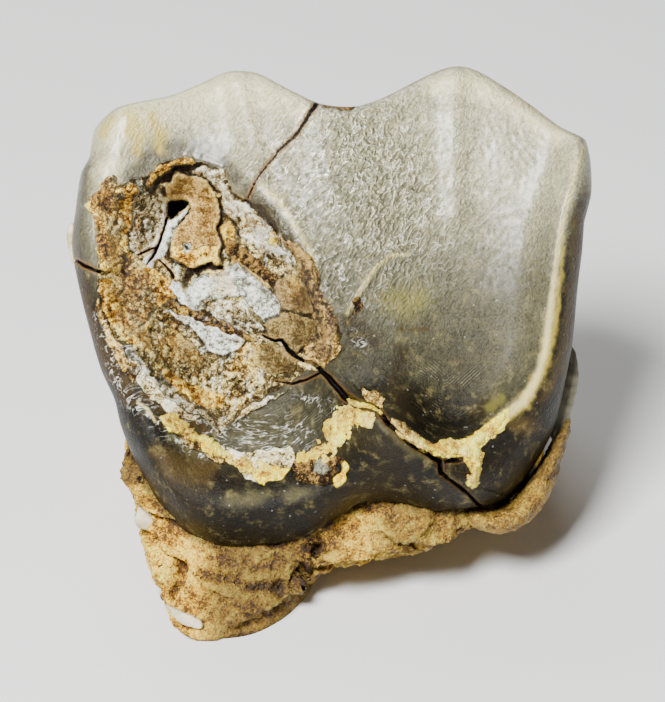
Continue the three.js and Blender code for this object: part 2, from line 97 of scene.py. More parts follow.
# Ridges of the outer wall: path, height, reach to the left and to the right of the path
RIDGES = {
    "right style and its rim": ([
        (584, 140), (577, 170), (567, 200), (559, 235), (553, 280), (549, 320), (544, 355), (528, 388),
        (505, 412), (482, 432), (460, 444), (435, 446), (412, 437), (392, 420)
    ], 5.4, 7.5, 3.2),
    "middle style": ([
        (322, 100), (322, 150), (326, 200), (334, 250), (346, 300), (362, 350), (382, 405)
    ], 4.2, 11, 10),
    "edge of the broken fossa": ([(246, 178), (278, 213), (301, 255), (322, 300), (342, 348)], 1.7, 3, 3.4),
    "rib of the right cone": ([(457, 70), (455, 150), (456, 215)], 0.8, 2, 2.4),
    "rib of the left cone": ([(234, 72), (246, 120), (256, 170)], 0.9, 2.2, 2.4),
    "left style": ([
        (118, 108), (98, 150), (90, 200), (90, 250), (98, 310), (118, 370), (145, 428)
    ], 3.0, 9, 6.5),
    "rim of the left lobe": ([
        (145, 428), (178, 478), (222, 500), (270, 502), (318, 487), (352, 462), (380, 434)
    ], 4.6, 7, 6.5),
    "rim between the lobes": ([(366, 425), (400, 447), (436, 468), (470, 482)], 3.4, 5, 7),
}
HOLLOWS = {
    "right dish": ([
        (400, 130), (455, 110), (520, 140), (556, 200), (545, 290), (530, 360), (480, 420), (430, 430),
        (385, 390), (370, 310), (370, 220)
    ], 1.4, 14),
    "broken fossa": ([
        (98, 196), (146, 182), (184, 158), (226, 170), (250, 198), (300, 248), (324, 300), (338, 350),
        (330, 398), (290, 440), (245, 440), (205, 424), (165, 392), (142, 352), (108, 330), (96, 260)
    ], 4.6, 5),
    "cave under the cone": ([
        (146, 196), (176, 174), (214, 184), (236, 214), (222, 262), (186, 272), (150, 268), (132, 236)
    ], 3.0, 4),
    "pocket below the cave": ([
        (176, 270), (226, 268), (262, 300), (262, 322), (206, 308), (178, 296)
    ], 2.0, 3.4),
}

# Cracks: path, width in millimetres at each point, depth
CRACKS = {
    "crack from the valley": ([
        (322, 94), (317, 104), (310, 113), (305, 122), (298, 134), (288, 143), (278, 152), (270, 163),
        (262, 172), (255, 184), (248, 199)
    ], (0.7, 0.75, 0.7, 0.6, 0.5, 0.4, 0.35, 0.3, 0.28, 0.25, 0.2), 2.4),
    "crack through the left style": ([
        (62, 257), (70, 260), (77, 261), (85, 266), (95, 271), (104, 274), (120, 274), (127, 278)
    ], (0.7, 0.6, 0.5, 0.6, 0.5, 0.6, 0.8, 0.4), 2.4),
    "main crack, upper": ([
        (263, 336), (274, 341), (282, 340), (288, 350), (296, 357), (304, 361), (312, 363), (322, 371),
        (333, 383), (345, 396), (357, 403), (370, 405), (378, 410), (386, 421)
    ], (0.3, 0.4, 0.5, 0.8, 0.7, 0.5, 0.8, 0.8, 1.0, 1.3, 1.3, 1.0, 0.9, 0.8), 3.4),
    "main crack, lower": ([
        (386, 421), (392, 427), (405, 440), (415, 447), (430, 455), (437, 459), (438, 470), (445, 476),
        (455, 483), (465, 491), (480, 506)
    ], (0.8, 0.6, 0.55, 0.5, 0.7, 0.8, 0.7, 0.6, 0.55, 0.5, 0.5), 3.0),
    "crack out of the hole": ([
        (164, 216), (161, 228), (157, 239), (153, 251), (148, 260), (143, 268)
    ], (0.5, 0.3, 0.4, 0.45, 0.3, 0.2), 2.2),
    "its branch": ([(154, 246), (140, 252), (126, 260)], (0.35, 0.4, 0.2), 1.6),
    "small crack": ([(157, 259), (165, 266), (172, 277)], (0.3, 0.4, 0.6), 1.6),
    "crack under the plate": ([(276, 382), (292, 384), (306, 380), (322, 372)], (0.2, 0.4, 0.4, 0.4), 1.0),
    "gap under the crust": ([(441, 459), (450, 458), (459, 459)], (0.4, 0.9, 0.4), 1.4),
}
HOLE = [(165, 201), (169, 198), (178, 197), (186, 200), (182, 205), (174, 210), (168, 217), (165, 212)]

# What lies on or shows through the broken left lobe and its rim: a named patch has its outline in pixels,
# how far it stands over or under the broken ground, how soft its edge is, and what it is made of.
PATCHES = [
    ("broken ground", [
        (90, 204), (110, 188), (146, 176), (165, 160), (190, 158), (212, 166), (226, 173), (232, 192),
        (248, 200), (262, 216), (278, 232), (296, 246), (314, 262), (320, 290), (332, 310), (340, 335),
        (336, 354), (322, 370), (304, 372), (285, 385), (262, 398), (245, 404), (236, 415), (222, 432),
        (205, 420), (180, 404), (160, 388), (146, 364), (132, 345), (112, 335), (102, 310), (98, 280),
        (100, 250), (96, 222)
    ], -0.7, 0.5, "ground"),
    ("rust on the upper left", [
        (84, 206), (100, 196), (128, 184), (138, 186), (134, 202), (132, 216), (124, 234), (110, 236),
        (100, 222)
    ], 0.7, 1.2, "rust"),
    ("flaky strip", [
        (136, 198), (158, 186), (164, 198), (163, 216), (160, 232), (152, 244), (132, 256), (128, 240),
        (132, 220)
    ], 0.3, 0.5, "flaky"),
    ("orange lump", [
        (102, 240), (114, 232), (124, 238), (127, 254), (121, 268), (112, 273), (101, 268), (98, 254)
    ], 1.5, 2.2, "rust"),
    ("rusty sand of the left edge", [
        (100, 280), (124, 277), (150, 262), (170, 280), (172, 300), (150, 312), (146, 330), (150, 352),
        (136, 348), (120, 334), (104, 314)
    ], 0.9, 1.6, "rust"),
    ("tan plate", [
        (164, 184), (176, 171), (190, 172), (206, 180), (216, 196), (218, 216), (216, 236), (219, 256),
        (222, 266), (206, 263), (190, 267), (180, 262), (167, 256), (168, 240), (176, 226), (187, 210),
        (188, 200), (168, 196)
    ], 1.7, 0.35, "plate"),
    ("rusty foot of the plate", [
        (168, 246), (190, 248), (216, 244), (221, 266), (206, 264), (190, 268), (180, 263), (168, 258)
    ], 0.25, 0.8, "rust"),
    ("white wall of the hole", [
        (186, 207), (178, 220), (170, 236), (163, 252), (150, 266), (138, 270), (130, 266), (146, 256),
        (158, 238), (165, 219)
    ], 0.2, 0.4, "dentine"),
    ("rusty lip of the fossa", [
        (146, 184), (152, 172), (164, 163), (178, 158), (192, 157), (194, 162), (180, 165), (168, 170),
        (158, 180), (150, 190)
    ], 0.9, 0.6, "rust"),
    ("pale band under the rim", [
        (190, 166), (206, 165), (222, 172), (230, 184), (232, 196), (224, 196), (216, 186), (204, 178),
        (192, 174)
    ], 0.3, 0.5, "flaky"),
    ("chalky pit in the plate", [
        (180, 242), (186, 241), (189, 246), (186, 251), (181, 249)
    ], -0.5, 0.4, "dentine"),
    ("yellow nodule", [
        (219, 226), (227, 220), (236, 227), (234, 243), (227, 248), (219, 240)
    ], 1.0, 1.4, "nodule"),
    ("grey shelf", [
        (222, 180), (234, 200), (250, 204), (268, 222), (284, 238), (296, 252), (300, 268), (282, 262),
        (262, 250), (240, 236), (236, 222), (222, 210)
    ], 0.7, 0.6, "flaky"),
    ("white flecks on the shelf", [
        (246, 222), (262, 226), (276, 240), (288, 256), (276, 256), (258, 242)
    ], 0.2, 0.5, "dentine"),
    ("orange spot", [(266, 234), (274, 232), (280, 240), (278, 248), (270, 245)], 0.2, 0.5, "nodule"),
    ("rusty edge of the fossa", [
        (284, 243), (298, 246), (312, 258), (320, 280), (322, 300), (332, 318), (334, 334), (322, 332),
        (312, 310), (306, 284), (296, 264)
    ], 0.6, 1.1, "iron"),
    ("brown band", [
        (224, 236), (240, 246), (262, 262), (280, 280), (274, 290), (254, 274), (236, 260), (224, 250)
    ], 0.3, 0.5, "iron"),
    ("tan streak", [
        (232, 256), (252, 272), (270, 286), (266, 292), (248, 282), (232, 266)
    ], 0.3, 0.4, "plate"),
    ("brown slab", [
        (276, 280), (296, 272), (308, 290), (314, 312), (296, 314), (284, 310), (272, 296)
    ], 0.7, 0.5, "slab"),
    ("bluish dentine", [
        (184, 290), (194, 277), (218, 272), (236, 262), (252, 276), (268, 290), (280, 304), (276, 318),
        (262, 322), (250, 306), (240, 298), (226, 296), (206, 304), (196, 309), (184, 300)
    ], -0.5, 0.7, "dentine"),
    ("white flake", [
        (170, 276), (178, 282), (184, 296), (200, 308), (192, 312), (176, 300), (168, 286)
    ], 0.4, 0.4, "dentine"),
    ("ridge below the pocket", [
        (166, 300), (186, 306), (210, 316), (240, 330), (256, 340), (240, 342), (212, 330), (186, 318),
        (166, 310)
    ], 0.9, 0.8, "iron"),
    ("flaky middle", [
        (198, 300), (226, 298), (246, 306), (262, 330), (246, 334), (214, 318)
    ], 0.5, 0.6, "flaky"),
    ("lower white streak", [
        (165, 312), (186, 316), (206, 326), (226, 332), (246, 341), (236, 350), (222, 356), (206, 350),
        (198, 336), (184, 325)
    ], 0.5, 0.45, "dentine"),
    ("olive plate", [
        (260, 324), (274, 317), (288, 312), (304, 316), (318, 322), (316, 334), (304, 347), (296, 353),
        (284, 342), (270, 338)
    ], 1.0, 0.35, "olive"),
    ("brown ground under the streak", [
        (164, 326), (180, 334), (196, 350), (206, 366), (196, 372), (180, 362), (168, 346)
    ], 0.3, 0.6, "olive"),
    ("brown ground by the crack", [
        (252, 346), (272, 342), (290, 352), (302, 362), (286, 374), (266, 376), (254, 364)
    ], 0.3, 0.6, "olive"),
    ("sandy lump", [
        (304, 346), (318, 338), (334, 336), (341, 345), (334, 359), (322, 369), (307, 361)
    ], 1.3, 1.2, "sand"),
    ("rust of the lower ground", [
        (156, 362), (176, 376), (198, 388), (222, 398), (226, 410), (210, 408), (190, 398), (170, 386)
    ], 0.3, 1.0, "rust"),
    ("pale broken rim", [
        (136, 352), (146, 362), (156, 378), (176, 394), (202, 407), (214, 419), (220, 430), (204, 420),
        (192, 411), (174, 402), (154, 386), (144, 370)
    ], 0.35, 0.7, "flaky"),
    ("pale rim, right", [
        (232, 424), (242, 410), (258, 401), (280, 393), (290, 388), (264, 405), (246, 416)
    ], 0.3, 0.6, "flaky"),
    ("white edge of the rim", [
        (120, 352), (134, 356), (146, 372), (158, 388), (178, 404), (200, 416), (196, 422), (172, 412),
        (150, 396), (136, 376), (124, 362)
    ], 0.2, 0.6, "chalk"),
    ("speckled left edge", [
        (99, 296), (112, 330), (128, 352), (142, 372), (134, 384), (118, 362), (104, 334), (96, 312)
    ], 0.2, 0.8, "sand"),
    ("chalky floor of the furrow", [
        (222, 446), (250, 452), (290, 446), (297, 458), (284, 473), (262, 481), (248, 477), (236, 462)
    ], 0.25, 0.6, "chalk"),
    ("yellow of the furrow", [
        (250, 470), (268, 466), (290, 466), (284, 476), (264, 484)
    ], 0.3, 0.6, "crust"),
    ("brown recess", [
        (296, 453), (318, 452), (344, 456), (350, 468), (336, 482), (312, 481), (296, 477), (290, 464)
    ], -0.5, 0.7, "iron"),
    ("grey bead", [
        (314, 462), (321, 457), (329, 461), (329, 469), (321, 472), (314, 469)
    ], 1.4, 1.4, "bead"),
    ("crust by the recess", [
        (342, 456), (349, 464), (347, 476), (336, 486), (334, 480), (342, 470)
    ], 0.5, 0.6, "crust"),
    ("brown crust of the left furrow", [
        (162, 416), (178, 420), (196, 434), (216, 448), (232, 460), (226, 466), (204, 454), (184, 438),
        (166, 426)
    ], 0.4, 0.6, "sand"),
    ("left yellow drop", [(168, 420), (178, 418), (185, 426), (180, 432), (170, 430)], 0.5, 0.9, "crust"),
    ("golden drop", [(200, 440), (210, 438), (217, 446), (212, 454), (202, 450)], 0.6, 0.9, "crust"),
    ("brown crust of the right furrow", [
        (388, 414), (402, 422), (422, 436), (436, 446), (430, 454), (412, 446), (396, 434)
    ], 0.3, 0.6, "sand"),
    ("cream crust of the right furrow", [
        (428, 444), (448, 440), (472, 432), (494, 416), (506, 406), (508, 420), (490, 438), (470, 454),
        (450, 456), (432, 454)
    ], 0.3, 0.7, "crust"),
    ("golden hook", [
        (462, 454), (472, 456), (478, 466), (476, 478), (466, 484), (462, 480), (468, 472), (464, 462)
    ], 0.6, 0.7, "crust"),
    ("chip in the valley", [
        (322, 100), (338, 103), (356, 106), (352, 111), (336, 110), (324, 108)
    ], -0.5, 0.5, "slab"),
    ("small rust below the middle", [
        (360, 386), (372, 390), (384, 398), (380, 406), (366, 400)
    ], 0.4, 0.6, "sand"),
    ("rust on the small ridge", [(352, 300), (360, 298), (362, 310), (354, 316)], 0.2, 0.6, "iron"),
]
# Each finish: its colour in the pits, between and on the grains, and how rough its relief is
FINISHES = {
    "ground": ((40, 30, 12), (106, 88, 46), (238, 220, 154), 0.42),
    "rust": ((44, 23, 3), (166, 114, 28), (255, 226, 108), 0.5),
    "flaky": ((46, 36, 15), (152, 134, 88), (255, 252, 228), 0.5),
    "plate": ((84, 56, 20), (146, 112, 52), (220, 186, 112), 0.14),
    "dentine": ((108, 104, 80), (220, 226, 210), (255, 255, 252), 0.38),
    "nodule": ((100, 70, 16), (200, 160, 52), (255, 232, 120), 0.32),
    "iron": ((14, 7, 2), (48, 31, 10), (156, 120, 60), 0.5),
    "slab": ((70, 52, 24), (108, 86, 48), (166, 140, 90), 0.12),
    "olive": ((58, 44, 16), (92, 74, 36), (156, 134, 82), 0.08),
    "sand": ((40, 24, 6), (118, 88, 34), (240, 204, 116), 0.45),
    "chalk": ((80, 60, 26), (218, 202, 144), (255, 252, 226), 0.42),
    "crust": ((206, 142, 14), (255, 228, 44), (255, 254, 110), 0.42),
    "bead": ((50, 48, 38), (92, 90, 74), (146, 146, 126), 0.05),
}

# Strokes of colour in the sound enamel, some of them painted light and shade: path, half width in millimetres
# at each point, mask
STROKES = [
    # the cream crest of the right rim, with a painted highlight along it
    ([
        (583, 146), (576, 168), (566, 202), (558, 238), (552, 280), (547, 318), (543, 350), (534, 380),
        (520, 402), (504, 414), (488, 430), (470, 444)
    ], (0.3, 0.4, 0.5, 0.55, 0.6, 0.7, 0.75, 0.8, 0.9, 1.0, 1.0, 0.8), "cream_and_painted_highlight"),
    # cream painted as highlights along the edge of the broken fossa and on the small ridge
    ([(262, 186), (282, 206), (296, 228), (312, 256), (320, 288)], (0.5, 0.6, 0.6, 0.5, 0.3), "cream_and_painted_highlight"),
    ([(409, 255), (391, 256), (376, 268), (361, 290), (347, 314)], (0.3, 0.4, 0.45, 0.45, 0.3), "cream_and_painted_highlight"),
    ([(378, 420), (392, 434), (412, 450), (430, 460)], (0.4, 0.8, 0.8, 0.4), "pale"),
    ([(140, 402), (150, 408), (158, 421)], (0.25, 0.3, 0.25), "cream_and_painted_highlight"),
    ([(174, 436), (188, 444), (202, 456)], (1.0, 1.4, 0.9), "pale"),
    ([(176, 438), (190, 446), (204, 456)], (0.6, 0.9, 0.6), "streaks"),
    ([(214, 432), (250, 428), (306, 430)], (1.8, 2.6, 1.6), "streaks"),
    ([(222, 446), (262, 444), (304, 440)], (1.2, 1.8, 1.2), "streaks"),
    ([(124, 346), (142, 378), (170, 404), (204, 420)], (1.2, 1.4, 1.4, 1.0), "streaks"),
    ([(132, 398), (152, 414), (166, 430)], (1.0, 1.2, 1.0), "streaks"),
    ([(100, 318), (112, 356), (124, 396)], (0.9, 1.2, 1.2), "streaks"),
    ([(98, 206), (104, 222), (116, 236)], (0.8, 1.0, 0.8), "streaks"),
    ([(134, 200), (138, 216), (134, 240)], (0.7, 1.0, 0.7), "streaks"),
    ([(206, 316), (240, 322), (262, 336)], (0.8, 1.0, 0.8), "streaks"),
    ([(238, 206), (256, 218), (276, 240), (290, 262)], (0.7, 1.0, 1.0, 0.6), "streaks"),
    ([(352, 334), (362, 346)], (0.8, 1.0), "streaks"),
    ([(300, 398), (318, 402), (340, 410)], (0.8, 1.0, 0.8), "streaks"),
    # painted light over the lit tops of the two cones and the left shoulder
    ([(108, 130), (150, 108), (206, 92), (262, 84), (296, 104)], (4.0, 4.5, 5.0, 5.0, 3.0), "painted_top_light"),
    ([(436, 84), (470, 80), (512, 104), (560, 134)], (2.0, 3.0, 2.5, 2.0), "painted_top_light"),
    ([(112, 168), (100, 182)], (2.4, 2.0), "painted_top_light"),
    ([(128, 114), (135, 132), (138, 152)], (1.6, 2.4, 1.2), "honey"),
    ([(152, 116), (160, 134), (160, 150)], (1.0, 1.8, 0.8), "honey"),
    ([(112, 120), (104, 136)], (1.0, 1.2), "honey"),
    ([
        (562, 240), (556, 290), (550, 332), (541, 368), (520, 404), (488, 430)
    ], (0.3, 0.5, 0.8, 1.0, 1.1, 0.8), "honey"),
    ([(577, 215), (571, 270), (565, 330), (556, 372), (540, 400)], (0.8, 0.9, 1.0, 1.1, 0.9), "amber"),
    ([(394, 300), (406, 302), (420, 298)], (2.6, 3.6, 2.4), "yellow"),
    ([(500, 398), (488, 406)], (0.8, 0.7), "yellow"),
    ([(160, 450), (176, 466), (196, 470), (214, 466)], (1.4, 2.6, 2.8, 1.6), "amber"),
    ([(510, 424), (528, 424)], (1.3, 1.6), "amber"),
    ([(398, 330), (412, 329), (426, 331)], (0.25, 0.35, 0.2), "amber"),
    # umber, partly painted shade: a dark brown line under the fossa's rim with shade where the enamel curls
    # into the cave, a dark spot, the painted shadow cast by the edge of the middle rib and the painted shadow
    # under the tan plate
    ([(150, 192), (158, 182), (170, 173), (184, 167), (198, 165)], (0.6, 0.9, 0.8, 0.6, 0.4), "umber_and_painted_shade"),
    ([(183, 245), (184, 246)], (0.25, 0.25), "umber_and_painted_shade"),
    ([(246, 200), (260, 212), (276, 230)], (0.5, 0.8, 0.5), "umber_and_painted_shade"),
    ([(184, 282), (186, 272), (200, 268), (220, 267)], (0.9, 1.1, 0.8, 0.5), "umber_and_painted_shade"),
    ([(82, 290), (92, 330), (110, 366), (130, 396)], (1.2, 1.8, 2.0, 1.6), "grime"),
    # painted shade: above the arch of the cave, beside the shelf, under the middle style, down the left
    # flank, along the right edge and in the lower right dish
    ([
        (134, 176), (148, 160), (166, 151), (192, 150), (216, 160), (236, 178)
    ], (2.0, 2.8, 3.0, 2.8, 2.6, 1.8), "painted_shade"),
    ([(244, 188), (260, 204), (280, 228), (296, 246)], (1.4, 2.2, 2.2, 1.2), "painted_shade"),
    ([(344, 322), (356, 332), (372, 340)], (2.0, 3.0, 1.8), "painted_shade"),
    ([(86, 166), (79, 200), (77, 240), (84, 285)], (1.4, 2.2, 2.6, 3.0), "painted_shade"),
    ([(582, 205), (580, 250), (575, 310), (568, 370)], (1.0, 1.4, 1.4, 1.6), "painted_shade"),
    ([(402, 352), (392, 386), (404, 414)], (1.6, 2.0, 1.6), "painted_shade"),
    ([(150, 396), (176, 414), (204, 430)], (1.2, 1.2, 1.0), "grime"),
    ([(584, 195), (581, 260), (575, 330), (564, 400)], (0.5, 0.8, 0.9, 1.1), "grime"),
    # pale strokes on the bulge of the cingulum are painted highlights
    ([(232, 498), (262, 494)], (1.6, 1.2), "pale"),
    ([(292, 492), (306, 490)], (1.4, 1.2), "pale"),
    ([(104, 180), (92, 190)], (1.6, 1.2), "pale"),
]
MASKS = ["streaks", "painted_top_light", "cream_and_painted_highlight", "honey", "yellow", "amber", "umber_and_painted_shade", "grime", "pale", "painted_shade"]

# Colours of the enamel and its marks. Painted light among them: a pale colour for the lit tops, a dark one
# for painted shade, a near-white for painted glints that also colours pale flecks and streaks, an umber that
# is partly painted shade, and a near-black standing for the shade inside cracks and the hole.
COLOURS = {
    "light enamel": (157, 153, 121), "mid enamel": (79, 76, 57), "dark enamel": (13, 10, 4),
    "pale_fleck_and_painted_glint": (250, 250, 236), "painted_top_light": (224, 215, 166), "cream_and_painted_highlight": (214, 198, 134), "honey": (180, 158, 54),
    "yellow": (136, 130, 58), "amber": (70, 54, 21), "umber_and_painted_shade": (30, 18, 7), "grime": (56, 40, 14),
    "pale": (92, 86, 54), "painted_shade": (40, 32, 18), "crack edge": (160, 110, 42), "deep": (10, 6, 4),
}


def colour(name):
    """An sRGB colour of the table as a linear one."""
    parts = COLOURS[name] if isinstance(name, str) else name
    linear = [c / 255 / 12.92 if c / 255 <= 0.04045 else ((c / 255 + 0.055) / 1.055) ** 2.4 for c in parts]
    return (*linear, 1.0)


def face(points):
    points = np.array(points, float)
    return np.stack([(points[:, 0] - PIXEL_CENTRE[0]) * PIXEL, (PIXEL_CENTRE[1] - points[:, 1]) * PIXEL], 1)


def ease(t):
    t = np.clip(t, 0, 1)
    return t * t * (3 - 2 * t)


def mix(a, b, t):
    return a + (b - a) * t


def through(points):
    """A smooth function through points (t, value) in rising order of t, level beyond its ends."""
    points = np.array(points, float)
    t, value = points[:, 0], points[:, 1]
    last = len(t) - 1
    slope = [(value[min(last, i + 1)] - value[max(0, i - 1)]) / (t[min(last, i + 1)] - t[max(0, i - 1)])
             for i in range(len(t))]
    slope = np.array(slope)

    def at(x):
        x = np.clip(x, t[0], t[-1])
        i = np.clip(np.searchsorted(t, x, "left") - 1, 0, last - 1)
        span = t[i + 1] - t[i]
        s = (x - t[i]) / span
        return (value[i] * (1 + 2 * s) * (1 - s) ** 2 + value[i + 1] * s * s * (3 - 2 * s)
                + span * (slope[i] * s * (1 - s) ** 2 + slope[i + 1] * s * s * (s - 1)))
    return at


def smooth_path(points, closed=False, steps=4):
    """A centripetal curve through the points."""
    points = np.array(points, float)
    n = len(points)
    spans = n if closed else n - 1

    def near(i):
        if closed:
            return points[i % n]
        if i < 0:
            return 2 * points[0] - points[1]
        return points[i] if i < n else 2 * points[-1] - points[-2]
    made = []
    for j in range(n * steps + 1):
        p = spans * j / (n * steps)
        k = min(int(p), spans - 1)
        w = p - k
        p0, p1, p2, p3 = near(k - 1), near(k), near(k + 1), near(k + 2)
        d0, d1, d2 = (max(np.hypot(*(b - a)) ** 0.5, 1e-4) for a, b in ((p0, p1), (p1, p2), (p2, p3)))
        t1 = ((p1 - p0) / d0 - (p2 - p0) / (d0 + d1) + (p2 - p1) / d1) * d1
        t2 = ((p2 - p1) / d1 - (p3 - p1) / (d1 + d2) + (p3 - p2) / d2) * d1
        made.append(p1 * (2 * w ** 3 - 3 * w ** 2 + 1) + t1 * (w ** 3 - 2 * w ** 2 + w)
                    + p2 * (3 * w ** 2 - 2 * w ** 3) + t2 * (w ** 3 - w ** 2))
    return np.array(made[:-1] if closed else made)


def upright(edge):
    """An upright edge, given as height and place across, in rising order of height."""
    return sorted((v, u) for u, v in face([(x, y) for y, x in edge]))


crest_height = through(face(CREST))
margin_height = through(face(ENAMEL_MARGIN))
left_edge = through(upright(LEFT_EDGE))
right_edge = through(upright(RIGHT_EDGE))
wall_sweep = through([(-34, 2.6), (-26, 2.4), (-18, -0.6), (-8, -2.2), (10, -2.8), (30, -4.6), (49, -9)])


def along_path(path, u, v):
    """Signed distance from a path, negative to the left of it, and how far along it the nearest point is."""
    best = np.full(np.shape(u), 1e9)
    side = np.ones(np.shape(u))
    share = np.zeros(np.shape(u))
    for i, ((ax, ay), (bx, by)) in enumerate(zip(path, path[1:])):
        dx, dy = bx - ax, by - ay
        s = np.clip(((u - ax) * dx + (v - ay) * dy) / (dx * dx + dy * dy), 0, 1)
        d = np.hypot(u - ax - s * dx, v - ay - s * dy)
        nearer = d < best
        best = np.where(nearer, d, best)
        side = np.where(nearer, np.where(dx * (v - ay) - dy * (u - ax) > 0, -1.0, 1.0), side)
        share = np.where(nearer, i + s, share)
    return best * side, share


def inside(outline, u, v):
    """Distance inside an outline, or negative outside it."""
    ring = np.vstack([outline, outline[:1]])
    within = np.zeros(np.shape(u), bool)
    for (ax, ay), (bx, by) in zip(ring, ring[1:]):
        if ay != by:
            within ^= ((ay > v) != (by > v)) & (u < (bx - ax) * (v - ay) / (by - ay) + ax)
    return np.abs(along_path(ring, u, v)[0]) * np.where(within, 1, -1)


def hump(d, reach):
    return np.exp(-(d / reach) ** 2)


def roll_over(distance, radius):
    q = np.clip(1 - distance / radius, 0, 1)
    return radius * (1 - np.sqrt(np.clip(1 - q * q, 0, 1)))


ridges = [(smooth_path(face(path)), height, left, right) for path, height, left, right in RIDGES.values()]
hollows = [(smooth_path(face(outline), True), depth, wall) for outline, depth, wall in HOLLOWS.values()]


def relief(u, v):
    """How far the outer wall stands towards the cheek at a place on the face, before its breaks."""
    w = wall_sweep(v)
    for path, height, left, right in ridges:
        d, _ = along_path(path, u, v)
        w = w + height * hump(d, np.where(d < 0, left, right))
    for outline, depth, wall in hollows:
        w = w - depth * ease(inside(outline, u, v) / wall)
    w = w - roll_over(u - left_edge(v), EDGE_ROLL["side"]) - roll_over(right_edge(v) - u, EDGE_ROLL["side"])
    w = w - roll_over(v - margin_height(u), EDGE_ROLL["base"])
    return w - roll_over(crest_height(u) - v, EDGE_ROLL["crest"])


def noise(points, seed=0):
    """Smooth noise about zero at points in space."""
    cell = np.floor(points).astype(np.int64)
    rest = points - cell
    blend = rest ** 3 * (rest * (rest * 6 - 15) + 10)
    total = np.zeros(len(points))
    for corner in np.ndindex(2, 2, 2):
        i = cell + corner
        h = i[:, 0] * 73856093 ^ i[:, 1] * 19349663 ^ i[:, 2] * 83492791 ^ (seed + 1) * 265443576
        h &= 0xffffffff
        h = ((h ^ (h >> 13)) * 1274126177) & 0xffffffff
        h = ((h ^ (h >> 16)) * 668265263) & 0xffffffff
        slope = np.stack([(h >> k & 1023) / 511.5 - 1 for k in (0, 10, 20)], 1)
        weight = np.prod(np.where(corner, blend, 1 - blend), 1)
        total += weight * np.sum(slope * (rest - corner), 1)
    return 1.5 * total


def fractal(points, size, octaves=3, seed=0):
    return sum(noise(points / size * 2 ** k, seed + k) / 2 ** k for k in range(octaves))


def clumped(points, coarse, fine, seed):
    """Round grains of two sizes, about zero."""
    return np.abs(noise(points / coarse, seed)) + 0.6 * np.abs(noise(points / fine, seed + 1)) - 0.4


def leaning(u, v, w):
    """Places across, up and out of the leaning face, turned upright."""
    return np.stack([u, v * math.sin(LEAN) - w * math.cos(LEAN), v * math.cos(LEAN) + w * math.sin(LEAN)], -1)


def on_face(u, v, w):
    return leaning(u, v, w) + FACE_ORIGIN


def blurred(field, reach):
    """A field averaged over some cells each way."""
    for axis in (0, 1):
        padded = np.pad(field, [(reach + 1, reach) if k == axis else (0, 0) for k in (0, 1)], "edge")
        total = np.cumsum(padded, axis)
        much = total.shape[axis] - 2 * reach - 1
        field = (np.take(total, range(2 * reach + 1, 2 * reach + 1 + much), axis)
                 - np.take(total, range(much), axis)) / (2 * reach + 1)
    return field


def stairs(x):
    """Even steps with a short rise between them."""
    whole = np.floor(x)
    return whole + ease((x - whole - 0.75) * 4)


def flat(u, v):
    return np.stack([np.ravel(u), np.ravel(v), np.zeros(np.size(u))], 1)


def bell(u, v, middle, reach):
    return hump(u - middle[0], reach[0]) * hump(v - middle[1], reach[1])


# The lines that the enamel grew along, and the small ridge in the right dish
GROWTH = {side: smooth_path(face(RIDGES[name][0])) for side, name in (
    ("right", "right style and its rim"), ("left", "rim of the left lobe"), ("between", "middle style"))}
SMALL_RIDGE = [(409, 256), (390, 256), (375, 268), (360, 290), (345, 312)]
# How far the broken lobe steps down inside its outline, and how far it is cut for the hole and dark lines
STEP_DOWN, STEP_EVERY, HOLE_DEPTH, DARK_LINE_DEPTH = 0.3, 1.5, 6, 0.8
# The middle and the reach of the crinkled enamel in the valley
CRINKLED = ((3, 24), (13, 16))


def rough_noise(spot, shape):
    """The coarse and fine roughness of broken ground, and its sharp crags and round clumps."""
    coarse = fractal(spot, 2.0, 2, 5)
    grit = fractal(spot, 0.95, 3, 9)
    crags = 0.3 - np.abs(fractal(spot, 3.2, 3, 15))
    return [field.reshape(shape) for field in (coarse, grit, crags, clumped(spot, 1.6, 0.75, 16))]


def lay_patches(u, v, wandered, coarse, lift, marks):
    """Raises or sinks the face under each patch and gives the spot to the patch's finish."""
    for name, outline, height, edge, finish in PATCHES:
        outline = face(outline)
        low, high = outline.min(0) - 3, outline.max(0) + 3
        near = (u > low[0]) & (u < high[0]) & (v > low[1]) & (v < high[1])
        d = inside(outline, wandered[0][near], wandered[1][near])
        lift[near] += height * ease(d / edge + 0.5)
        if name == "broken ground":
            lift[near] -= STEP_DOWN * np.clip(stairs((d + 1.5 * coarse[near]) / STEP_EVERY), 0, 6)
        cover = ease(d / min(edge, 0.7) + 0.5)
        for other in FINISHES:
            marks[other][near] *= 1 - cover
        marks[finish][near] += cover * (1 - marks[finish][near])


def cut_cracks(u, v, lift, marks):
    """Cuts the cracks, and marks how far each spot is from the nearest one and how wide that one is."""
    crack, opened, closest = np.full(u.shape, 9.0), np.zeros(u.shape), np.full(u.shape, 1e9)
    for path, width, depth in CRACKS.values():
        points = face(path)
        d, share = along_path(points, u, v)
        half = np.interp(share, range(len(width)), width) / 2
        beyond = ((share <= 0) | (share >= len(points) - 1)) & (np.abs(d) > half)
        half = np.where(beyond, 0, half)
        lift -= depth * ease(1.15 - np.abs(d) / np.maximum(half, 1e-3))
        take = np.abs(d) - half < closest
        closest = np.where(take, np.abs(d) - half, closest)
        crack, opened = np.where(take, d, crack), np.where(take, half, opened)
    marks["crack"], marks["crack_half"] = crack, opened


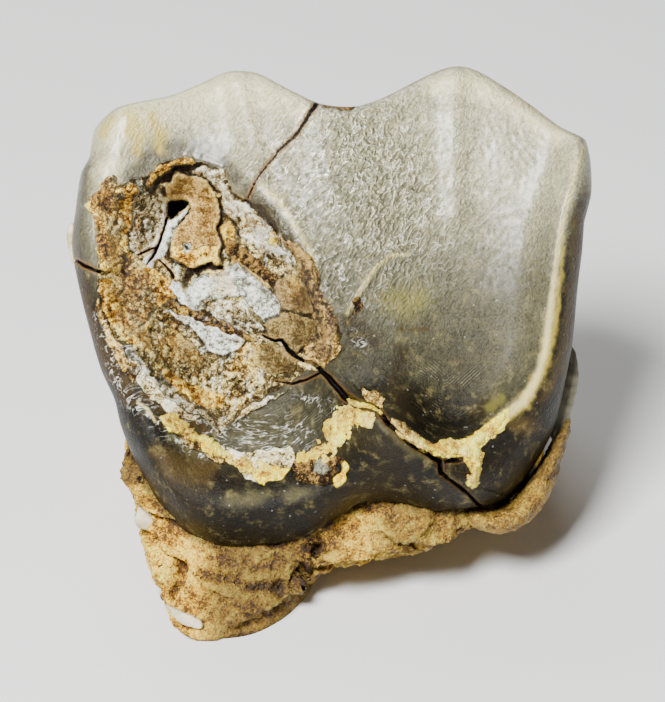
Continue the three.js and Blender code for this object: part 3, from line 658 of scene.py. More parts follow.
def lightness_with_painted_light(u, v, to_right):
    """How light the enamel is: darker down the face, partly as painted shade; painted shade outside the right
    rim, at the left edge and low on the right of the cingulum; lighter just inside the right rim and on the
    striated patch; painted sheen in the crinkled valley.
    """
    light = LIGHTNESS(v) - 0.45 * ease((-to_right - 0.3) / 1.5) * ease((34 - v) / 10) * (u > 20)
    light -= 0.5 * hump(u - left_edge(v), 4.5) * ease((16 - v) / 8)
    light += 0.17 * hump(to_right - 3, 5) * ease((12 - v) / 10) * ease((v + 12) / 6) * (u > 20)
    light += 0.3 * bell(u, v, (-12, -14), (9, 5)) + 0.12 * bell(u, v, *CRINKLED)
    return light - (0.25 * ease((u + 6) / 14) + 0.2 * ease((u - 4) / 10)) * ease((-15 - v) / 7)


def broken_face(u, v, cell):
    """The breaks, crusts, wrinkles and cracks of the outer wall: how far each lifts it, and its masks."""
    shape = np.shape(u)
    spot = flat(u, v)
    wander = [0.6 * fractal(spot, 2.8, 4, 11 + k).reshape(shape) for k in (0, 20)]
    wu, wv = u + wander[0], v + wander[1]
    lift = np.zeros(shape)
    marks = {name: np.zeros(shape) for name in [*FINISHES, *MASKS]}
    coarse, grit, crags, clumps = rough_noise(spot, shape)
    lay_patches(u, v, (wu, wv), coarse, lift, marks)
    for name, (_, _, _, much) in FINISHES.items():
        lift += marks[name] * much * (0.6 * coarse + 1.0 * crags + 1.8 * clumps + 0.3 * grit)
    for path, half, mask in STROKES:
        d, share = along_path(face(path), *((u, v) if mask == "cream_and_painted_highlight" else (wu, wv)))
        marks[mask] = np.maximum(marks[mask], hump(d, np.interp(share, range(len(half)), half)))
    lift -= DARK_LINE_DEPTH * marks["umber_and_painted_shade"]
    lift += 0.7 * hump(along_path(smooth_path(face(SMALL_RIDGE)), u, v)[0], 0.8)
    sound = np.clip(1 - sum(marks[name] for name in FINISHES), 0, 1)
    marks["wrinkled"] = 0.15 + 0.3 * ease((v + 5) / 25) + bell(u, v, *CRINKLED)
    wrinkle = np.abs(fractal(flat(u, 0.7 * v), 1.5, 2, 31)).reshape(shape)
    swell = 0.25 * fractal(spot, 14, 2, 3).reshape(shape)
    lift += sound * (0.26 * marks["wrinkled"] * (0.4 - wrinkle) + swell)
    marks["hole"] = inside(face(HOLE), u + 0.3 * wander[0], v + 0.3 * wander[1])
    lift -= HOLE_DEPTH * ease(marks["hole"] / 0.5 + 0.5)
    jog = [0.16 * fractal(spot, 1.8, 3, 61 + k).reshape(shape) for k in (0, 9)]
    cut_cracks(u + jog[0], v + jog[1], lift, marks)
    marks["grit"] = grit
    marks["cavity"] = (blurred(lift, max(1, round(0.7 / cell))) - lift) / 0.3
    away = {side: along_path(line, u, v)[0] for side, line in GROWTH.items()}
    marks["light"] = lightness_with_painted_light(u, v, away["right"])
    marks["growth"] = np.abs(np.where(away["between"] < 0, away["right"], away["left"]))
    marks["lined"] = (bell(u, v, (21, -4), (13, 9)) + bell(u, v, (-9, -12), (10, 6))) * sound
    return lift, marks


# Where the fine skin of the broken lobe lies over the coarser crown
SKIN_OUTLINE = [
    (92, 200), (104, 178), (140, 164), (160, 148), (204, 150), (246, 178), (300, 232), (332, 292),
    (350, 360), (388, 400), (392, 440), (356, 482), (300, 488), (240, 486), (190, 464), (148, 420),
    (112, 372), (96, 310), (90, 250)
]
# The masks' values where nothing is cracked or open
REST = {"crack": 9.0, "hole": -9.0}


def skin_depth(u, v):
    return inside(smooth_path(face(SKIN_OUTLINE), True), u, v)


# How the enamel gets darker down the face, partly its own darker base and partly painted shade as the light
# falls off downwards: height over the face's origin against lightness
LIGHTNESS = through([(-36, 0.0), (-24, 0.0), (-14, 0.05), (-7, 0.12), (-2, 0.26), (4, 0.38), (9, 0.47),
                     (14, 0.56), (19, 0.67), (24, 0.8), (30, 0.92), (50, 1.0)])


def hidden_mark(name, points):
    """A mask over enamel that isn't on the outer wall: only its lightness changes, with the height."""
    if name == "light":
        return 0.14 + 0.66 * LIGHTNESS((points[..., 2] - FACE_ORIGIN[2]) / math.cos(LEAN))
    return np.full(points.shape[:-1], REST.get(name, 0.0))


# The inner cusps: their middle, their height over the basin and their reach
CUSPS = {"protocone": (-11, 52, 18, 13, 8.5), "hypocone": (17, 52, 13, 11, 8),
         "protoconule": (-26, 40, 6, 8, 8)}


def basin(x, y, half_width, far_edge):
    z = BASIN_FLOOR
    for cx, cy, height, wide, deep in CUSPS.values():
        z = z + height * np.exp(-1.2 * (((x - cx) / wide) ** 2 + ((y - cy) / deep) ** 2))
    z = z + 2.5 * hump(half_width - np.abs(x), 4)
    return z - roll_over(half_width - np.abs(x), 4) - roll_over(far_edge - y, 6)


def spread(count, pinch):
    """Values -1 to 1, closer together at both ends."""
    t = np.linspace(-1, 1, count)
    return t * (1 + pinch - pinch * t * t)


COLUMNS, FACE_ROWS, WALL_ROWS, BASIN_ROWS, TONGUE_ROWS, UNDER_ROWS = 276, 236, 22, 30, 16, 8
# How much closer the sections and rows lie at the edges
PINCH = 0.18


def outer_wall(a):
    """The face with its relief and breaks, from the enamel's margin up to the crest, and its masks."""
    share = (a + 1) / 2

    def across(v):
        return mix(left_edge(v), right_edge(v), share)

    def meet(height, v):
        v = np.full_like(a, v)
        for _ in range(14):
            v = mix(v, height(across(v)), 0.7)
        return v
    low, high = meet(margin_height, -28.0), meet(crest_height, 42.0)
    v = mix(low, high, (spread(FACE_ROWS, PINCH)[None, :] + 1) / 2)
    u = across(v)
    lift, marks = broken_face(u, v, CROWN_WIDTH / COLUMNS)
    lift = lift - SKIN_SINK * ease((skin_depth(u, v) - 1.0) / 0.9)
    fade = ease((v - low) / 2.5) * ease((high - v) / 0.9 + 0.35)
    w = relief(u, v) + lift * np.maximum(fade, ease((high - v) / 0.6))
    return leaning(u, v, w), marks


def inner_side(a, crest, front):
    """The crown behind its crest: inner wall, basin, tongue side and underside."""
    side = np.abs(a[:, 0])
    far_edge = LINGUAL_Y - CORNER_DRAW * side ** 3

    def width_at(y):
        s = ease((y - crest[:, 1:2]) / (far_edge[:, None] - crest[:, 1:2]))
        return mix(crest[:, 0:1], a * LINGUAL_HALF_WIDTH, s), mix(CREST_HALF_WIDTH, LINGUAL_HALF_WIDTH, s)

    def floor_at(y):
        x, half = width_at(y)
        return x, basin(x, y, half, far_edge[:, None])
    calm = np.concatenate([blurred(crest[:, [k]], 8) for k in range(3)], 1)
    foot_y = calm[:, 1] + mix(*WALL_FOOT, side)
    foot_z = floor_at(foot_y[:, None])[1][:, 0]
    t = np.linspace(0, 1, WALL_ROWS + 1)[None, 1:]
    bezier = [(1 - t) ** 3, 3 * (1 - t) ** 2 * t, 3 * (1 - t) * t * t, t ** 3]
    wall_y = sum(b * p[:, None] for b, p in zip(bezier, [crest[:, 1], calm[:, 1] + 6, foot_y - 5, foot_y]))
    wall_z = sum(b * p[:, None] for b, p in zip(bezier, [crest[:, 2], calm[:, 2] - 4, foot_z + 11, foot_z]))
    wall = np.stack([width_at(wall_y)[0], wall_y, wall_z], -1)
    t = 1 - (1 - np.linspace(0, 1, BASIN_ROWS + 1)[None, 1:]) ** 1.35
    floor_y = mix(foot_y[:, None], far_edge[:, None], t)
    x, z = floor_at(floor_y)
    floor = np.stack([x, floor_y, z], -1)
    edge = floor[:, -1]
    t = np.linspace(0, 1, TONGUE_ROWS + 1)[None, 1:]
    swell = TONGUE_SWELL * np.sin(math.pi * np.minimum(1, t * 1.1))
    tongue = np.stack([a * (LINGUAL_HALF_WIDTH - 2 * t), edge[:, 1:2] + swell - 4 * t * t,
                       mix(edge[:, 2:3], CROWN_BASE, t)], -1)
    t = np.linspace(0, 1, UNDER_ROWS + 1)[None, 1:-1]
    under = mix(tongue[:, -1][:, None], front[:, None], t[..., None])
    under[..., 2] -= UNDER_ARCH * np.sin(math.pi * t) * (1 - a * a)
    return np.concatenate([wall, floor, tongue, under], 1)


def crown_rings():
    """The crown's sections from left to right, and their masks."""
    a = spread(COLUMNS, PINCH)[:, None]
    wall, marks = outer_wall(a)
    rings = np.concatenate([wall, inner_side(a, wall[:, -1], wall[:, 0])], 1) + FACE_ORIGIN
    hidden = rings[:, FACE_ROWS:]
    return rings, {name: np.concatenate([m, hidden_mark(name, hidden)], 1) for name, m in marks.items()}


# The crown's two sides: how far out each ring lies, and how they swell about their middle
SIDE_RINGS = [0.97, 0.93, 0.87, 0.8, 0.72, 0.62, 0.5, 0.38, 0.26, 0.14]
SIDE_SWELL = 2.4
SIDE_CENTRE = np.array([34.0, 14.0, -8.0])


def with_sides(rings, marks):
    """Adds the two sides of the crown: the end sections drawn in towards a middle."""
    made, kept = [], {name: [] for name in marks}
    for way, end in ((-1, 0), (1, -1)):
        centre = SIDE_CENTRE * (way, 1, 1) + FACE_ORIGIN
        side = [mix(centre, rings[end], s) + (way * SIDE_SWELL * (1 - s * s), 0, 0) for s in SIDE_RINGS]
        made.append(np.array(side if way > 0 else side[::-1]))
        for name, m in marks.items():
            plain = hidden_mark(name, made[-1])
            near = (np.array(SIDE_RINGS) ** 5)[::way, None] if name == "light" else 0
            kept[name].append(mix(plain, m[end], near))
    rings = np.concatenate([made[0], rings, made[1]])
    return rings, {name: np.concatenate([kept[name][0], m, kept[name][1]]) for name, m in marks.items()}


def loft_faces(count, around):
    """Quads between rings, and a fan over each end round two points that follow the rings."""
    i, j = np.meshgrid(np.arange(count - 1), np.arange(around), indexing="ij")
    nxt = (j + 1) % around
    quads = np.stack([i * around + j, i * around + nxt, (i + 1) * around + nxt, (i + 1) * around + j], -1)
    quads = quads.reshape(-1, 4).tolist()
    first, last, top = count * around, count * around + 1, (count - 1) * around
    quads += [(first, (k + 1) % around, k) for k in range(around)]
    return quads + [(last, top + k, top + (k + 1) % around) for k in range(around)]


def make_mesh(name, points, faces, marks=None):
    """A smooth-shaded mesh from points in millimetres, with its masks stored on its points."""
    mesh = bpy.data.meshes.new(name)
    mesh.from_pydata((np.asarray(points) / 1000).tolist(), [], faces)
    for mask, values in (marks or {}).items():
        stored = mesh.attributes.new(mask, "FLOAT", "POINT")
        stored.data.foreach_set("value", np.ravel(values).astype(np.float32))
    mesh.shade_smooth()
    mesh.update()
    piece = bpy.data.objects.new(name, mesh)
    bpy.context.collection.objects.link(piece)
    return piece


def within_box(points):
    """The points, none of them outside the part's own box."""
    low, high = np.array(start_box) * 1000
    return np.clip(points, low, high)


def with_ends(rings):
    """The rings' points and the middles of the two end rings."""
    return np.vstack([rings.reshape(-1, 3), rings[0].mean(0), rings[-1].mean(0)])


def lofted(name, rings, marks=None):
    marks = {mask: [*np.ravel(m), m[0].mean(), m[-1].mean()] for mask, m in (marks or {}).items()}
    return make_mesh(name, within_box(with_ends(rings)), loft_faces(*rings.shape[:2]), marks)


def ring_normals(rings):
    """The outward direction at each point of a stack of closed rings."""
    along = np.gradient(rings, axis=0)
    around = np.roll(rings, -1, 1) - np.roll(rings, 1, 1)
    normal = np.cross(around, along)
    return normal / np.maximum(np.linalg.norm(normal, axis=-1, keepdims=True), 1e-9)


# The stone: its outline in plan at heights over the floor, through matching stations
STONE_LEVELS = [
    (0, [
        (-24, -26), (-14.5, -26), (-9, -22), (-5, -16), (-1, -6), (6, 1), (20, 10), (31, 22), (32, 38),
        (24, 50), (6, 55), (-14, 54), (-28, 46), (-32, 28), (-30, 4), (-27.5, -18)
    ]),
    (4, [
        (-23, -24.5), (-14, -24.5), (-8.5, -21), (-4, -16.5), (2, -10), (10, -4), (21, 4), (33, 20),
        (35, 38), (27, 53), (7, 58), (-15, 57), (-31, 48), (-34, 28), (-32, 4), (-29, -16)
    ]),
    (10.5, [
        (-22, -17), (-13, -17), (-6, -17), (0, -17.5), (6, -17.5), (14, -16.5), (22, -11), (34, 4),
        (37, 36), (28, 57), (7, 63), (-16, 62), (-33, 50), (-36, 28), (-33.5, 4), (-30, -14)
    ]),
    (21, [
        (-22, -10), (-12, -12), (-4, -10), (3, -8), (12, -8), (20, -9), (30, -7), (37, 6), (36.5, 32),
        (28, 57), (7, 64), (-15, 63), (-32, 50), (-35, 27), (-35, 4), (-33, -8)
    ]),
]
STONE_COLUMNS, STONE_ROWS, STONE_TOP_ROWS = 576, 58, 26
STONE_MIDDLE_Y = 18
# Where the stone's left side starts to be drawn in
STONE_LEFT = -36
# A lump on the stone's left front, and the lines where the stone is broken: path, depth and half width
STONE_LUMP = [(150, 540), (166, 536), (178, 548), (184, 562), (180, 580), (166, 592), (152, 586), (146, 562)]
STONE_BREAKS = {
    "groove round the lump": ([(184, 560), (182, 580), (168, 594), (160, 596)], 1.2, 0.8),
    "split": ([(318, 544), (310, 556), (302, 572), (298, 584)], 2.0, 1.2),
    "cleft": ([(200, 572), (224, 576), (250, 584), (280, 586)], 0.8, 0.9),
}


def lumps(x, y, z):
    """Slow swelling of the stone."""
    return (0.5 * np.sin(0.31 * x + 0.23 * z + 1.7 * np.sin(0.19 * y))
            + 0.35 * np.sin(0.53 * y - 0.47 * z + 1.3 * np.sin(0.37 * x))
            + 0.25 * np.sin(0.83 * z + 0.61 * x - 0.71 * y))


def to_face(points):
    """Where points lie over the face: across, up and towards the cheek."""
    p = points - FACE_ORIGIN
    return (p[..., 0], p[..., 1] * math.sin(LEAN) + p[..., 2] * math.cos(LEAN),
            p[..., 2] * math.sin(LEAN) - p[..., 1] * math.cos(LEAN))


def weathered(points, normals, keep, seed=0, much=1.0):
    """Broken sandstone: angular blocks, bedding ledges and grains pushed along the normals."""
    shape = points.shape
    p, n = points.reshape(-1, 3), normals.reshape(-1, 3)
    blocks = 0.3 - np.abs(fractal(p, 8, 3, seed + 1))
    grains = clumped(p, 1.5, 0.8, seed + 30)
    ledges = fractal(p * (0.5, 0.5, 1.6), 5, 2, seed + 7)
    ledges = stairs(ledges * 3) / 3 * 0.7 + ledges * 0.3
    chips = 0.2 - np.abs(fractal(p, 2.4, 3, seed + 12))
    push = much * (1.3 * blocks + 0.7 * ledges + 0.5 * chips + 0.6 * grains - 0.4) * np.ravel(keep)
    return (p + n * push[:, None]).reshape(shape), push.reshape(shape[:-1])


def stone_rings():
    outlines = [smooth_path(stations, True, STONE_COLUMNS // len(stations)) for _, stations in STONE_LEVELS]
    heights = np.array([height for height, _ in STONE_LEVELS], float)
    rise = np.linspace(0, heights[-1], STONE_ROWS)
    x = np.empty((STONE_ROWS, STONE_COLUMNS))
    y = np.empty_like(x)
    for i in range(STONE_COLUMNS):
        for k, out in ((0, x), (1, y)):
            out[:, i] = through([(h, o[i, k]) for h, o in zip(heights, outlines)])(rise)
    swell = 1 + np.where(rise[:, None] > 0, 0.045 * lumps(x, y, 3 * rise[:, None]), 0)
    x, y = x * swell, mix(STONE_MIDDLE_Y, y, swell)
    z = FLOOR + rise[:, None] + 1.3 * lumps(x, y, rise[:, None]) * ease((rise[:, None] - 12) / 6)
    return np.stack([x, y, z], -1) + FACE_ORIGIN


def shaded_by_crown(points):
    """Where the crown's shadow is painted dark on the stone: along the seam under the enamel's margin, wider
    to the right, and over the middle and the right under the crown.
    """
    u, v, w = to_face(points)
    wide = mix(0.8, 2.2, ease((u + 2) / 10))
    seam = ease(1.2 - (margin_height(u) - v) / wide) * ease((w + 24) / 8)
    under = 0.95 * ease((u + 24) / 6) * ease((8 - u) / 14) + 0.75 * ease((u - 2) / 10)
    return np.maximum(seam, under * ease((w + 24) / 8))


# The ledge of stone at the right: its path, and its half width, depth and level along it
LEDGE = {
    "path": [
        (466, 512), (484, 521), (500, 522), (518, 514), (534, 498), (548, 476), (558, 452), (567, 430),
        (573, 412)
    ],
    "half": (1.4, 2.0, 2.4, 2.5, 2.4, 2.1, 1.5, 1.1, 0.5),
    "deep": (4, 6, 7, 7, 7, 6.5, 6, 5, 2),
    "level": (-5, -6, -7, -8, -9, -9.5, -10, -11, -12),
}


def ledge_rings(steps=150, around=72):
    """The thin ledge of stone that climbs the side of the right lobe."""
    path = smooth_path(face(LEDGE["path"]), False, 8)
    s = np.linspace(0, 1, steps)
    u, v = (np.interp(s, np.linspace(0, 1, len(path)), path[:, k])[:, None] for k in (0, 1))
    du, dv = np.gradient(u, axis=0), np.gradient(v, axis=0)
    length = np.hypot(du, dv)
    size = {key: through(list(enumerate(LEDGE[key])))(s * (len(LEDGE["half"]) - 1))[:, None]
            for key in ("half", "deep", "level")}
    turn = np.linspace(0, 2 * math.pi, around, endpoint=False)[None]
    ends = np.sqrt(np.clip(1 - (2 * s - 1) ** 24, 0.02, 1))[:, None]
    c, lift = np.cos(turn) * size["half"] * ends, np.sin(turn) * size["deep"] * ends
    return on_face(u - dv / length * c, v + du / length * c, size["level"] + lift)


def stone_body():
    """The lump of stone, broken and weathered, and how far each spot is pushed out."""
    rings = stone_rings()
    top = [mix(rings[-1].mean(0), rings[-1], s) for s in np.linspace(0.985, 0.3, STONE_TOP_ROWS)]
    bottom = [mix(rings[0].mean(0) * (1, 1, 0), rings[0], s) for s in (0.3, 0.6, 0.8, 0.9, 0.96)]
    rings = np.concatenate([bottom, rings, top])
    keep = ease((rings[..., 2] - 0.15) / 1.6)
    rings, push = weathered(rings, ring_normals(rings), keep, 3)
    u, v, w = to_face(rings)
    front = ease((w + 12) / 4)
    move = 1.3 * ease(inside(smooth_path(face(STONE_LUMP), True), u, v) / 2.4)
    for path, depth, half in STONE_BREAKS.values():
        move = move - depth * hump(along_path(face(path), u, v)[0], half)
    rings = rings + ring_normals(rings) * (move * front * keep)[..., None]
    rings[..., 2] = np.maximum(rings[..., 2], 0)
    rings[..., 0] += 0.6 * np.maximum(STONE_LEFT - rings[..., 0], 0)
    return rings, push + move * front


def make_stone():
    ledge = ledge_rings()
    parts = [stone_body(), weathered(ledge, ring_normals(ledge), np.ones(ledge.shape[:2]), 8, 0.45)]
    points, faces, marks = [], [], {"stain": [], "grit": [], "cavity": []}
    for rings, pushed in parts:
        offset = sum(len(p) for p in points)
        points.append(with_ends(rings))
        faces += [tuple(k + offset for k in f) for f in loft_faces(*rings.shape[:2])]
        # the stain mask holds the crown's painted shadow on the stone
        fresh = {"stain": shaded_by_crown(rings), "cavity": (blurred(pushed, 3) - pushed) / 0.45,
                 "grit": fractal(rings.reshape(-1, 3), 1.1, 3, 40)}
        for mask, values in fresh.items():
            marks[mask] += [*np.ravel(values), 0, 0]
    return make_mesh("sandstone", within_box(np.vstack(points)), faces, marks)


# Runs of sand cemented in the hollows of the face: path, half width and thickness at each point
SAND_RUNS = {
    "fossa_sand": [([
        (112, 184), (108, 206), (110, 232), (116, 256), (128, 280), (138, 300), (134, 326), (146, 350)
    ], (1.2, 2.8, 2.0, 2.4, 3.2, 3.4, 2.8, 0.8), (1.1, 2.0, 2.2, 2.2, 2.2, 2.0, 1.8, 0.9))],
    "fossa_wall_sand": [([
        (294, 248), (308, 272), (318, 300), (326, 326), (322, 348), (312, 360)
    ], (0.9, 1.4, 1.3, 1.8, 2.2, 1.0), (1.2, 1.8, 1.8, 2.0, 2.2, 1.2))],
    "rim_crust_left": [([
        (164, 414), (180, 425), (204, 441), (226, 455), (250, 466), (274, 472)
    ], (0.5, 1.1, 0.9, 0.7, 1.2, 0.8), (0.9, 1.5, 1.4, 1.0, 1.5, 1.0))],
    "rim_crust_middle": [([
        (374, 414), (354, 415), (340, 424), (330, 440), (318, 452), (302, 456)
    ], (1.2, 2.2, 2.2, 1.6, 1.5, 0.9), (1.3, 2.3, 2.2, 1.8, 1.6, 1.0))],
    "rim_crust_right": [([
        (400, 432), (424, 443), (448, 447), (468, 450), (476, 462), (470, 480)
    ], (0.5, 0.8, 1.2, 1.6, 1.0, 0.8), (0.9, 1.4, 1.7, 1.8, 1.5, 1.0)),
    ([(462, 450), (480, 436), (500, 418)], (1.2, 1.2, 0.7), (1.6, 1.5, 1.0))],
}
# How far round its runs the sand may lie
SAND_REACH = 4.5


def face_grid(low, high, step):
    return np.meshgrid(np.arange(low[0], high[0], step), np.arange(low[1], high[1], step), indexing="ij")


def skin(name, u, v, w, keep, marks, back=None):
    """A sheet over the face where keep says so, closed behind by a back if one is given."""
    index = np.arange(u.size).reshape(u.shape)
    quads = np.stack([index[:-1, :-1], index[1:, :-1], index[1:, 1:], index[:-1, 1:]], -1)
    kept = keep[:-1, :-1] | keep[1:, :-1] | keep[1:, 1:] | keep[:-1, 1:]
    faces = quads[kept].tolist()
    points, used = on_face(u, v, w).reshape(-1, 3), np.unique(quads[kept])
    marks = {mask: np.ravel(m) for mask, m in marks.items()}
    if back is not None:
        edges = {(a, b) for quad in faces for a, b in zip(quad, quad[1:] + quad[:1])}
        faces += [[k + u.size for k in reversed(quad)] for quad in faces]
        faces += [[b, a, a + u.size, b + u.size] for a, b in edges if (b, a) not in edges]
        points = np.vstack([points, on_face(u, v, back).reshape(-1, 3)])
        used = np.concatenate([used, used + u.size])
        marks = {mask: np.concatenate([m, m]) for mask, m in marks.items()}
    place = np.zeros(len(points), int)
    place[used] = np.arange(len(used))
    return make_mesh(name, within_box(points[used]), [[int(place[k]) for k in f] for f in faces],
                     {mask: m[used] for mask, m in marks.items()})


def broken_skin(cell=0.185):
    """The broken lobe again, finely, standing a hair over the crown."""
    outline = face(SKIN_OUTLINE)
    u, v = face_grid(outline.min(0) - 1, outline.max(0) + 1, cell)
    d = skin_depth(u, v)
    lift, marks = broken_face(u, v, cell)
    return skin("broken_lobe", u, v, relief(u, v) + lift - 0.05 + 0.07 * ease(d / 1.1), d > 0, marks)


def sand_patch(name, runs, cell=0.2):
    """Cemented sand that rises out of the face along its runs and breaks off raggedly."""
    paths = [smooth_path(face(path)) for path, _, _ in runs]
    ends = np.vstack(paths)
    u, v = face_grid(ends.min(0) - SAND_REACH, ends.max(0) + SAND_REACH, cell)
    spot = flat(u, v)
    wander = [0.9 * fractal(spot, 2.4, 3, 51 + k).reshape(u.shape) for k in (0, 20)]
    patches = fractal(spot, 3.4, 2, 83).reshape(u.shape)
    grit = fractal(spot, 0.9, 3, 77).reshape(u.shape)
    rise = np.full(u.shape, -9.0)
    for path, (_, half, thick) in zip(paths, runs):
        d, share = along_path(path, u + wander[0], v + wander[1])
        s = share / (len(path) - 1) * (len(half) - 1)
        reach = np.interp(s, range(len(half)), half)
        dome = 1 - (d / reach) ** 2 + 0.6 * patches
        rise = np.maximum(rise, np.interp(s, range(len(half)), thick) * np.clip(dome, -3, 1) * 0.5)
    clumps = clumped(spot, 1.3, 0.7, 41).reshape(u.shape)
    rise = rise + np.where(rise > -0.3, 0.9 * clumps + 0.2 * patches, 0)
    base = relief(u, v) + np.clip(blurred(broken_face(u, v, cell)[0], 3), -2.5, 1.5)
    marks = {"grit": grit, "cavity": (blurred(rise, 3) - rise) / 0.3}
    return skin(name, u, v, base + rise, rise > -0.7, marks, relief(u, v) - 5)


# The four chips: outline, thickness and level over the face
FLAKES = {
    "enamel_chip": ([(143, 501), (152, 510), (154, 529), (138, 528), (134, 521)], 1.8, -4.4),
    "enamel_sliver": ([(70, 222), (75, 232), (76, 262), (71, 262), (66, 245), (65, 231)], 1.6, -7.6),
    "side_plate": ([
        (574, 345), (580, 362), (581, 378), (577, 400), (571, 422), (560, 441), (553, 438), (558, 410),
        (566, 380)
    ], 2.2, -9.5),
    "bone_splinter": ([(168, 601), (182, 607), (203, 618), (204, 624), (194, 624), (178, 616)], 1.6, 3.9),
}


# A chip's rounded section: height as a share of its thickness, and how wide it is there
FLAKE_LEVELS = [(-1, 0.5), (-1, 0.82), (-0.7, 0.95), (-0.33, 1), (0, 1), (0.33, 0.96), (0.44, 0.88),
                (0.5, 0.7), (0.52, 0.45), (0.52, 0.2)]


def flake(name, outline, thick, level):
    """A thin broken plate with a rounded edge."""
    ring = smooth_path(face(outline), True, 14)
    ring = ring + 0.12 * np.stack([fractal(flat(*ring.T), 1.2, 2, 90 + k) for k in (0, 9)], 1)
    middle = ring.mean(0)
    rings = []
    for lift, share in FLAKE_LEVELS:
        p = mix(middle, ring, share)
        rough = 0.1 * fractal(flat(*p.T), 1.8, 3, 95)
        rings.append(on_face(p[:, 0], p[:, 1], level + lift * thick + rough * (lift > 0)))
    return lofted(name, np.array(rings))


class Tree:
    """Short words for adding and joining shader nodes."""

    def __init__(self, tree):
        self.tree = tree

    def add(self, kind, values=None, **settings):
        node = self.tree.nodes.new(kind if kind.startswith("NodeGroup") else "ShaderNode" + kind)
        for key, value in settings.items():
            setattr(node, key, value)
        for key, value in (values or {}).items():
            self.put(node.inputs[key], value)
        return node

    def put(self, socket, value):
        if isinstance(value, bpy.types.NodeSocket):
            self.tree.links.new(value, socket)
        else:
            socket.default_value = value

    def give(self, **outputs):
        """Ends a group with its outputs."""
        self.add("NodeGroupOutput", outputs)

    def math(self, operation, a, b=0.0, clamp=False):
        return self.add("Math", {0: a, 1: b}, operation=operation, use_clamp=clamp).outputs[0]

    def plus(self, a, b, clamp=False):
        return self.math("ADD", a, b, clamp)

    def minus(self, a, b):
        return self.math("SUBTRACT", a, b)

    def times(self, a, b):
        return self.math("MULTIPLY", a, b)

    def larger(self, a, b):
        return self.math("MAXIMUM", a, b)

    def blend(self, factor, a, b, mode="MIX"):
        return self.add("Mix", {0: factor, 6: a, 7: b}, data_type="RGBA", blend_type=mode).outputs[2]

    def amount(self, factor, a, b):
        return self.add("Mix", {0: factor, 2: a, 3: b}, data_type="FLOAT").outputs[0]

    def mask(self, name):
        return self.add("Attribute", attribute_name=name).outputs["Fac"]

    def step(self, value, low, high):
        return self.add("MapRange", {"Value": value, "From Min": low, "From Max": high},
                        interpolation_type="SMOOTHSTEP").outputs["Result"]

    def place(self):
        return self.add("TexCoord").outputs["Object"]

    def noise(self, where, scale, detail, rough, twist):
        return self.add("TexNoise", {"Vector": where, "Scale": scale, "Detail": detail, "Roughness": rough,
                                     "Distortion": twist}).outputs["Fac"]

    def grain(self, scale, detail=4.0, rough=0.6, stretch=None, twist=0.0):
        where = self.place()
        if stretch:
            lean = {"Vector": where, "Scale": stretch, "Rotation": (LEAN, 0, 0)}
            where = self.add("Mapping", lean).outputs[0]
        return self.noise(where, scale, detail, rough, twist)

    def swing(self, *settings, **others):
        """The same grain about zero."""
        return self.minus(self.grain(*settings, **others), 0.5)

    def flowing(self, scale, turn, long, detail=2.0, twist=0.6):
        """How far a spot is from the nearest of many lines that run along the face, turned from upright."""
        nod = -math.asin(math.cos(turn) * math.sin(LEAN))
        way = math.asin(math.sin(turn) / math.cos(nod))
        turned = {"Vector": self.place(), "Rotation": (nod, way, 0), "Scale": (1, 1, long)}
        where = self.add("Mapping", turned, vector_type="TEXTURE").outputs[0]
        return self.math("ABSOLUTE", self.minus(self.noise(where, scale, detail, 0.5, twist), 0.5))

    def cells(self, scale):
        """Small cells: random parts of colour for each, and how far a spot is from its cell's middle."""
        node = self.add("TexVoronoi", {"Vector": self.place(), "Scale": scale}, feature="F1")
        return self.add("SeparateColor", {"Color": node.outputs["Color"]}).outputs, node.outputs["Distance"]


def node_group(name, inputs, outputs):
    """A shader group with named sockets: inputs {name: default}, outputs {name: socket type}."""
    group = bpy.data.node_groups.new(name, "ShaderNodeTree")
    for key, default in inputs.items():
        kind = "NodeSocketColor" if isinstance(default, tuple) else "NodeSocketFloat"
        group.interface.new_socket(key, in_out="INPUT", socket_type=kind).default_value = default
    for key, kind in outputs.items():
        group.interface.new_socket(key, in_out="OUTPUT", socket_type=kind)
    t = Tree(group)
    return group, t, t.add("NodeGroupInput").outputs


def cemented_grains():
    """Grains of sand in a cement: a tone for each spot, darker in cavities as painted shade, and its height.
    """
    group, t, ports = node_group("Cemented grains", {"Size": 1400.0, "Grit": 0.0, "Cavity": 0.0},
                                 {"Tone": "NodeSocketFloat", "Height": "NodeSocketFloat"})
    tint = t.cells(ports["Size"])[0][0]
    dust = t.grain(t.times(ports["Size"], 0.13), 5.0, 0.65, twist=0.3)
    fine = t.grain(t.times(ports["Size"], 2.0), 2.0, 0.7, twist=0.4)
    tone = t.plus(t.times(t.minus(tint, 0.5), 0.4), t.times(t.minus(dust, 0.5), 6.0))
    tone = t.plus(tone, t.times(t.minus(fine, 0.5), 5.5))
    tone = t.plus(tone, t.times(ports["Grit"], 0.4))
    # painted shade: the tone darkens in cavities
    tone = t.minus(tone, t.times(t.larger(ports["Cavity"], -0.7), 0.75))
    t.give(Tone=tone, Height=t.plus(t.times(dust, 4.0), t.times(fine, 1.6)))
    return group


def three_tones():
    """A dark, a middle and a light colour along one tone."""
    plain = (0.2, 0.2, 0.2, 1.0)
    group, t, ports = node_group("Three tones", {"Tone": 0.0, "Dark": plain, "Mid": plain, "Light": plain},
                                 {"Color": "NodeSocketColor"})
    low = t.blend(t.step(ports["Tone"], -1.0, -0.05), ports["Dark"], ports["Mid"])
    t.give(Color=t.blend(t.step(ports["Tone"], 0.0, 1.0), low, ports["Light"]))
    return group


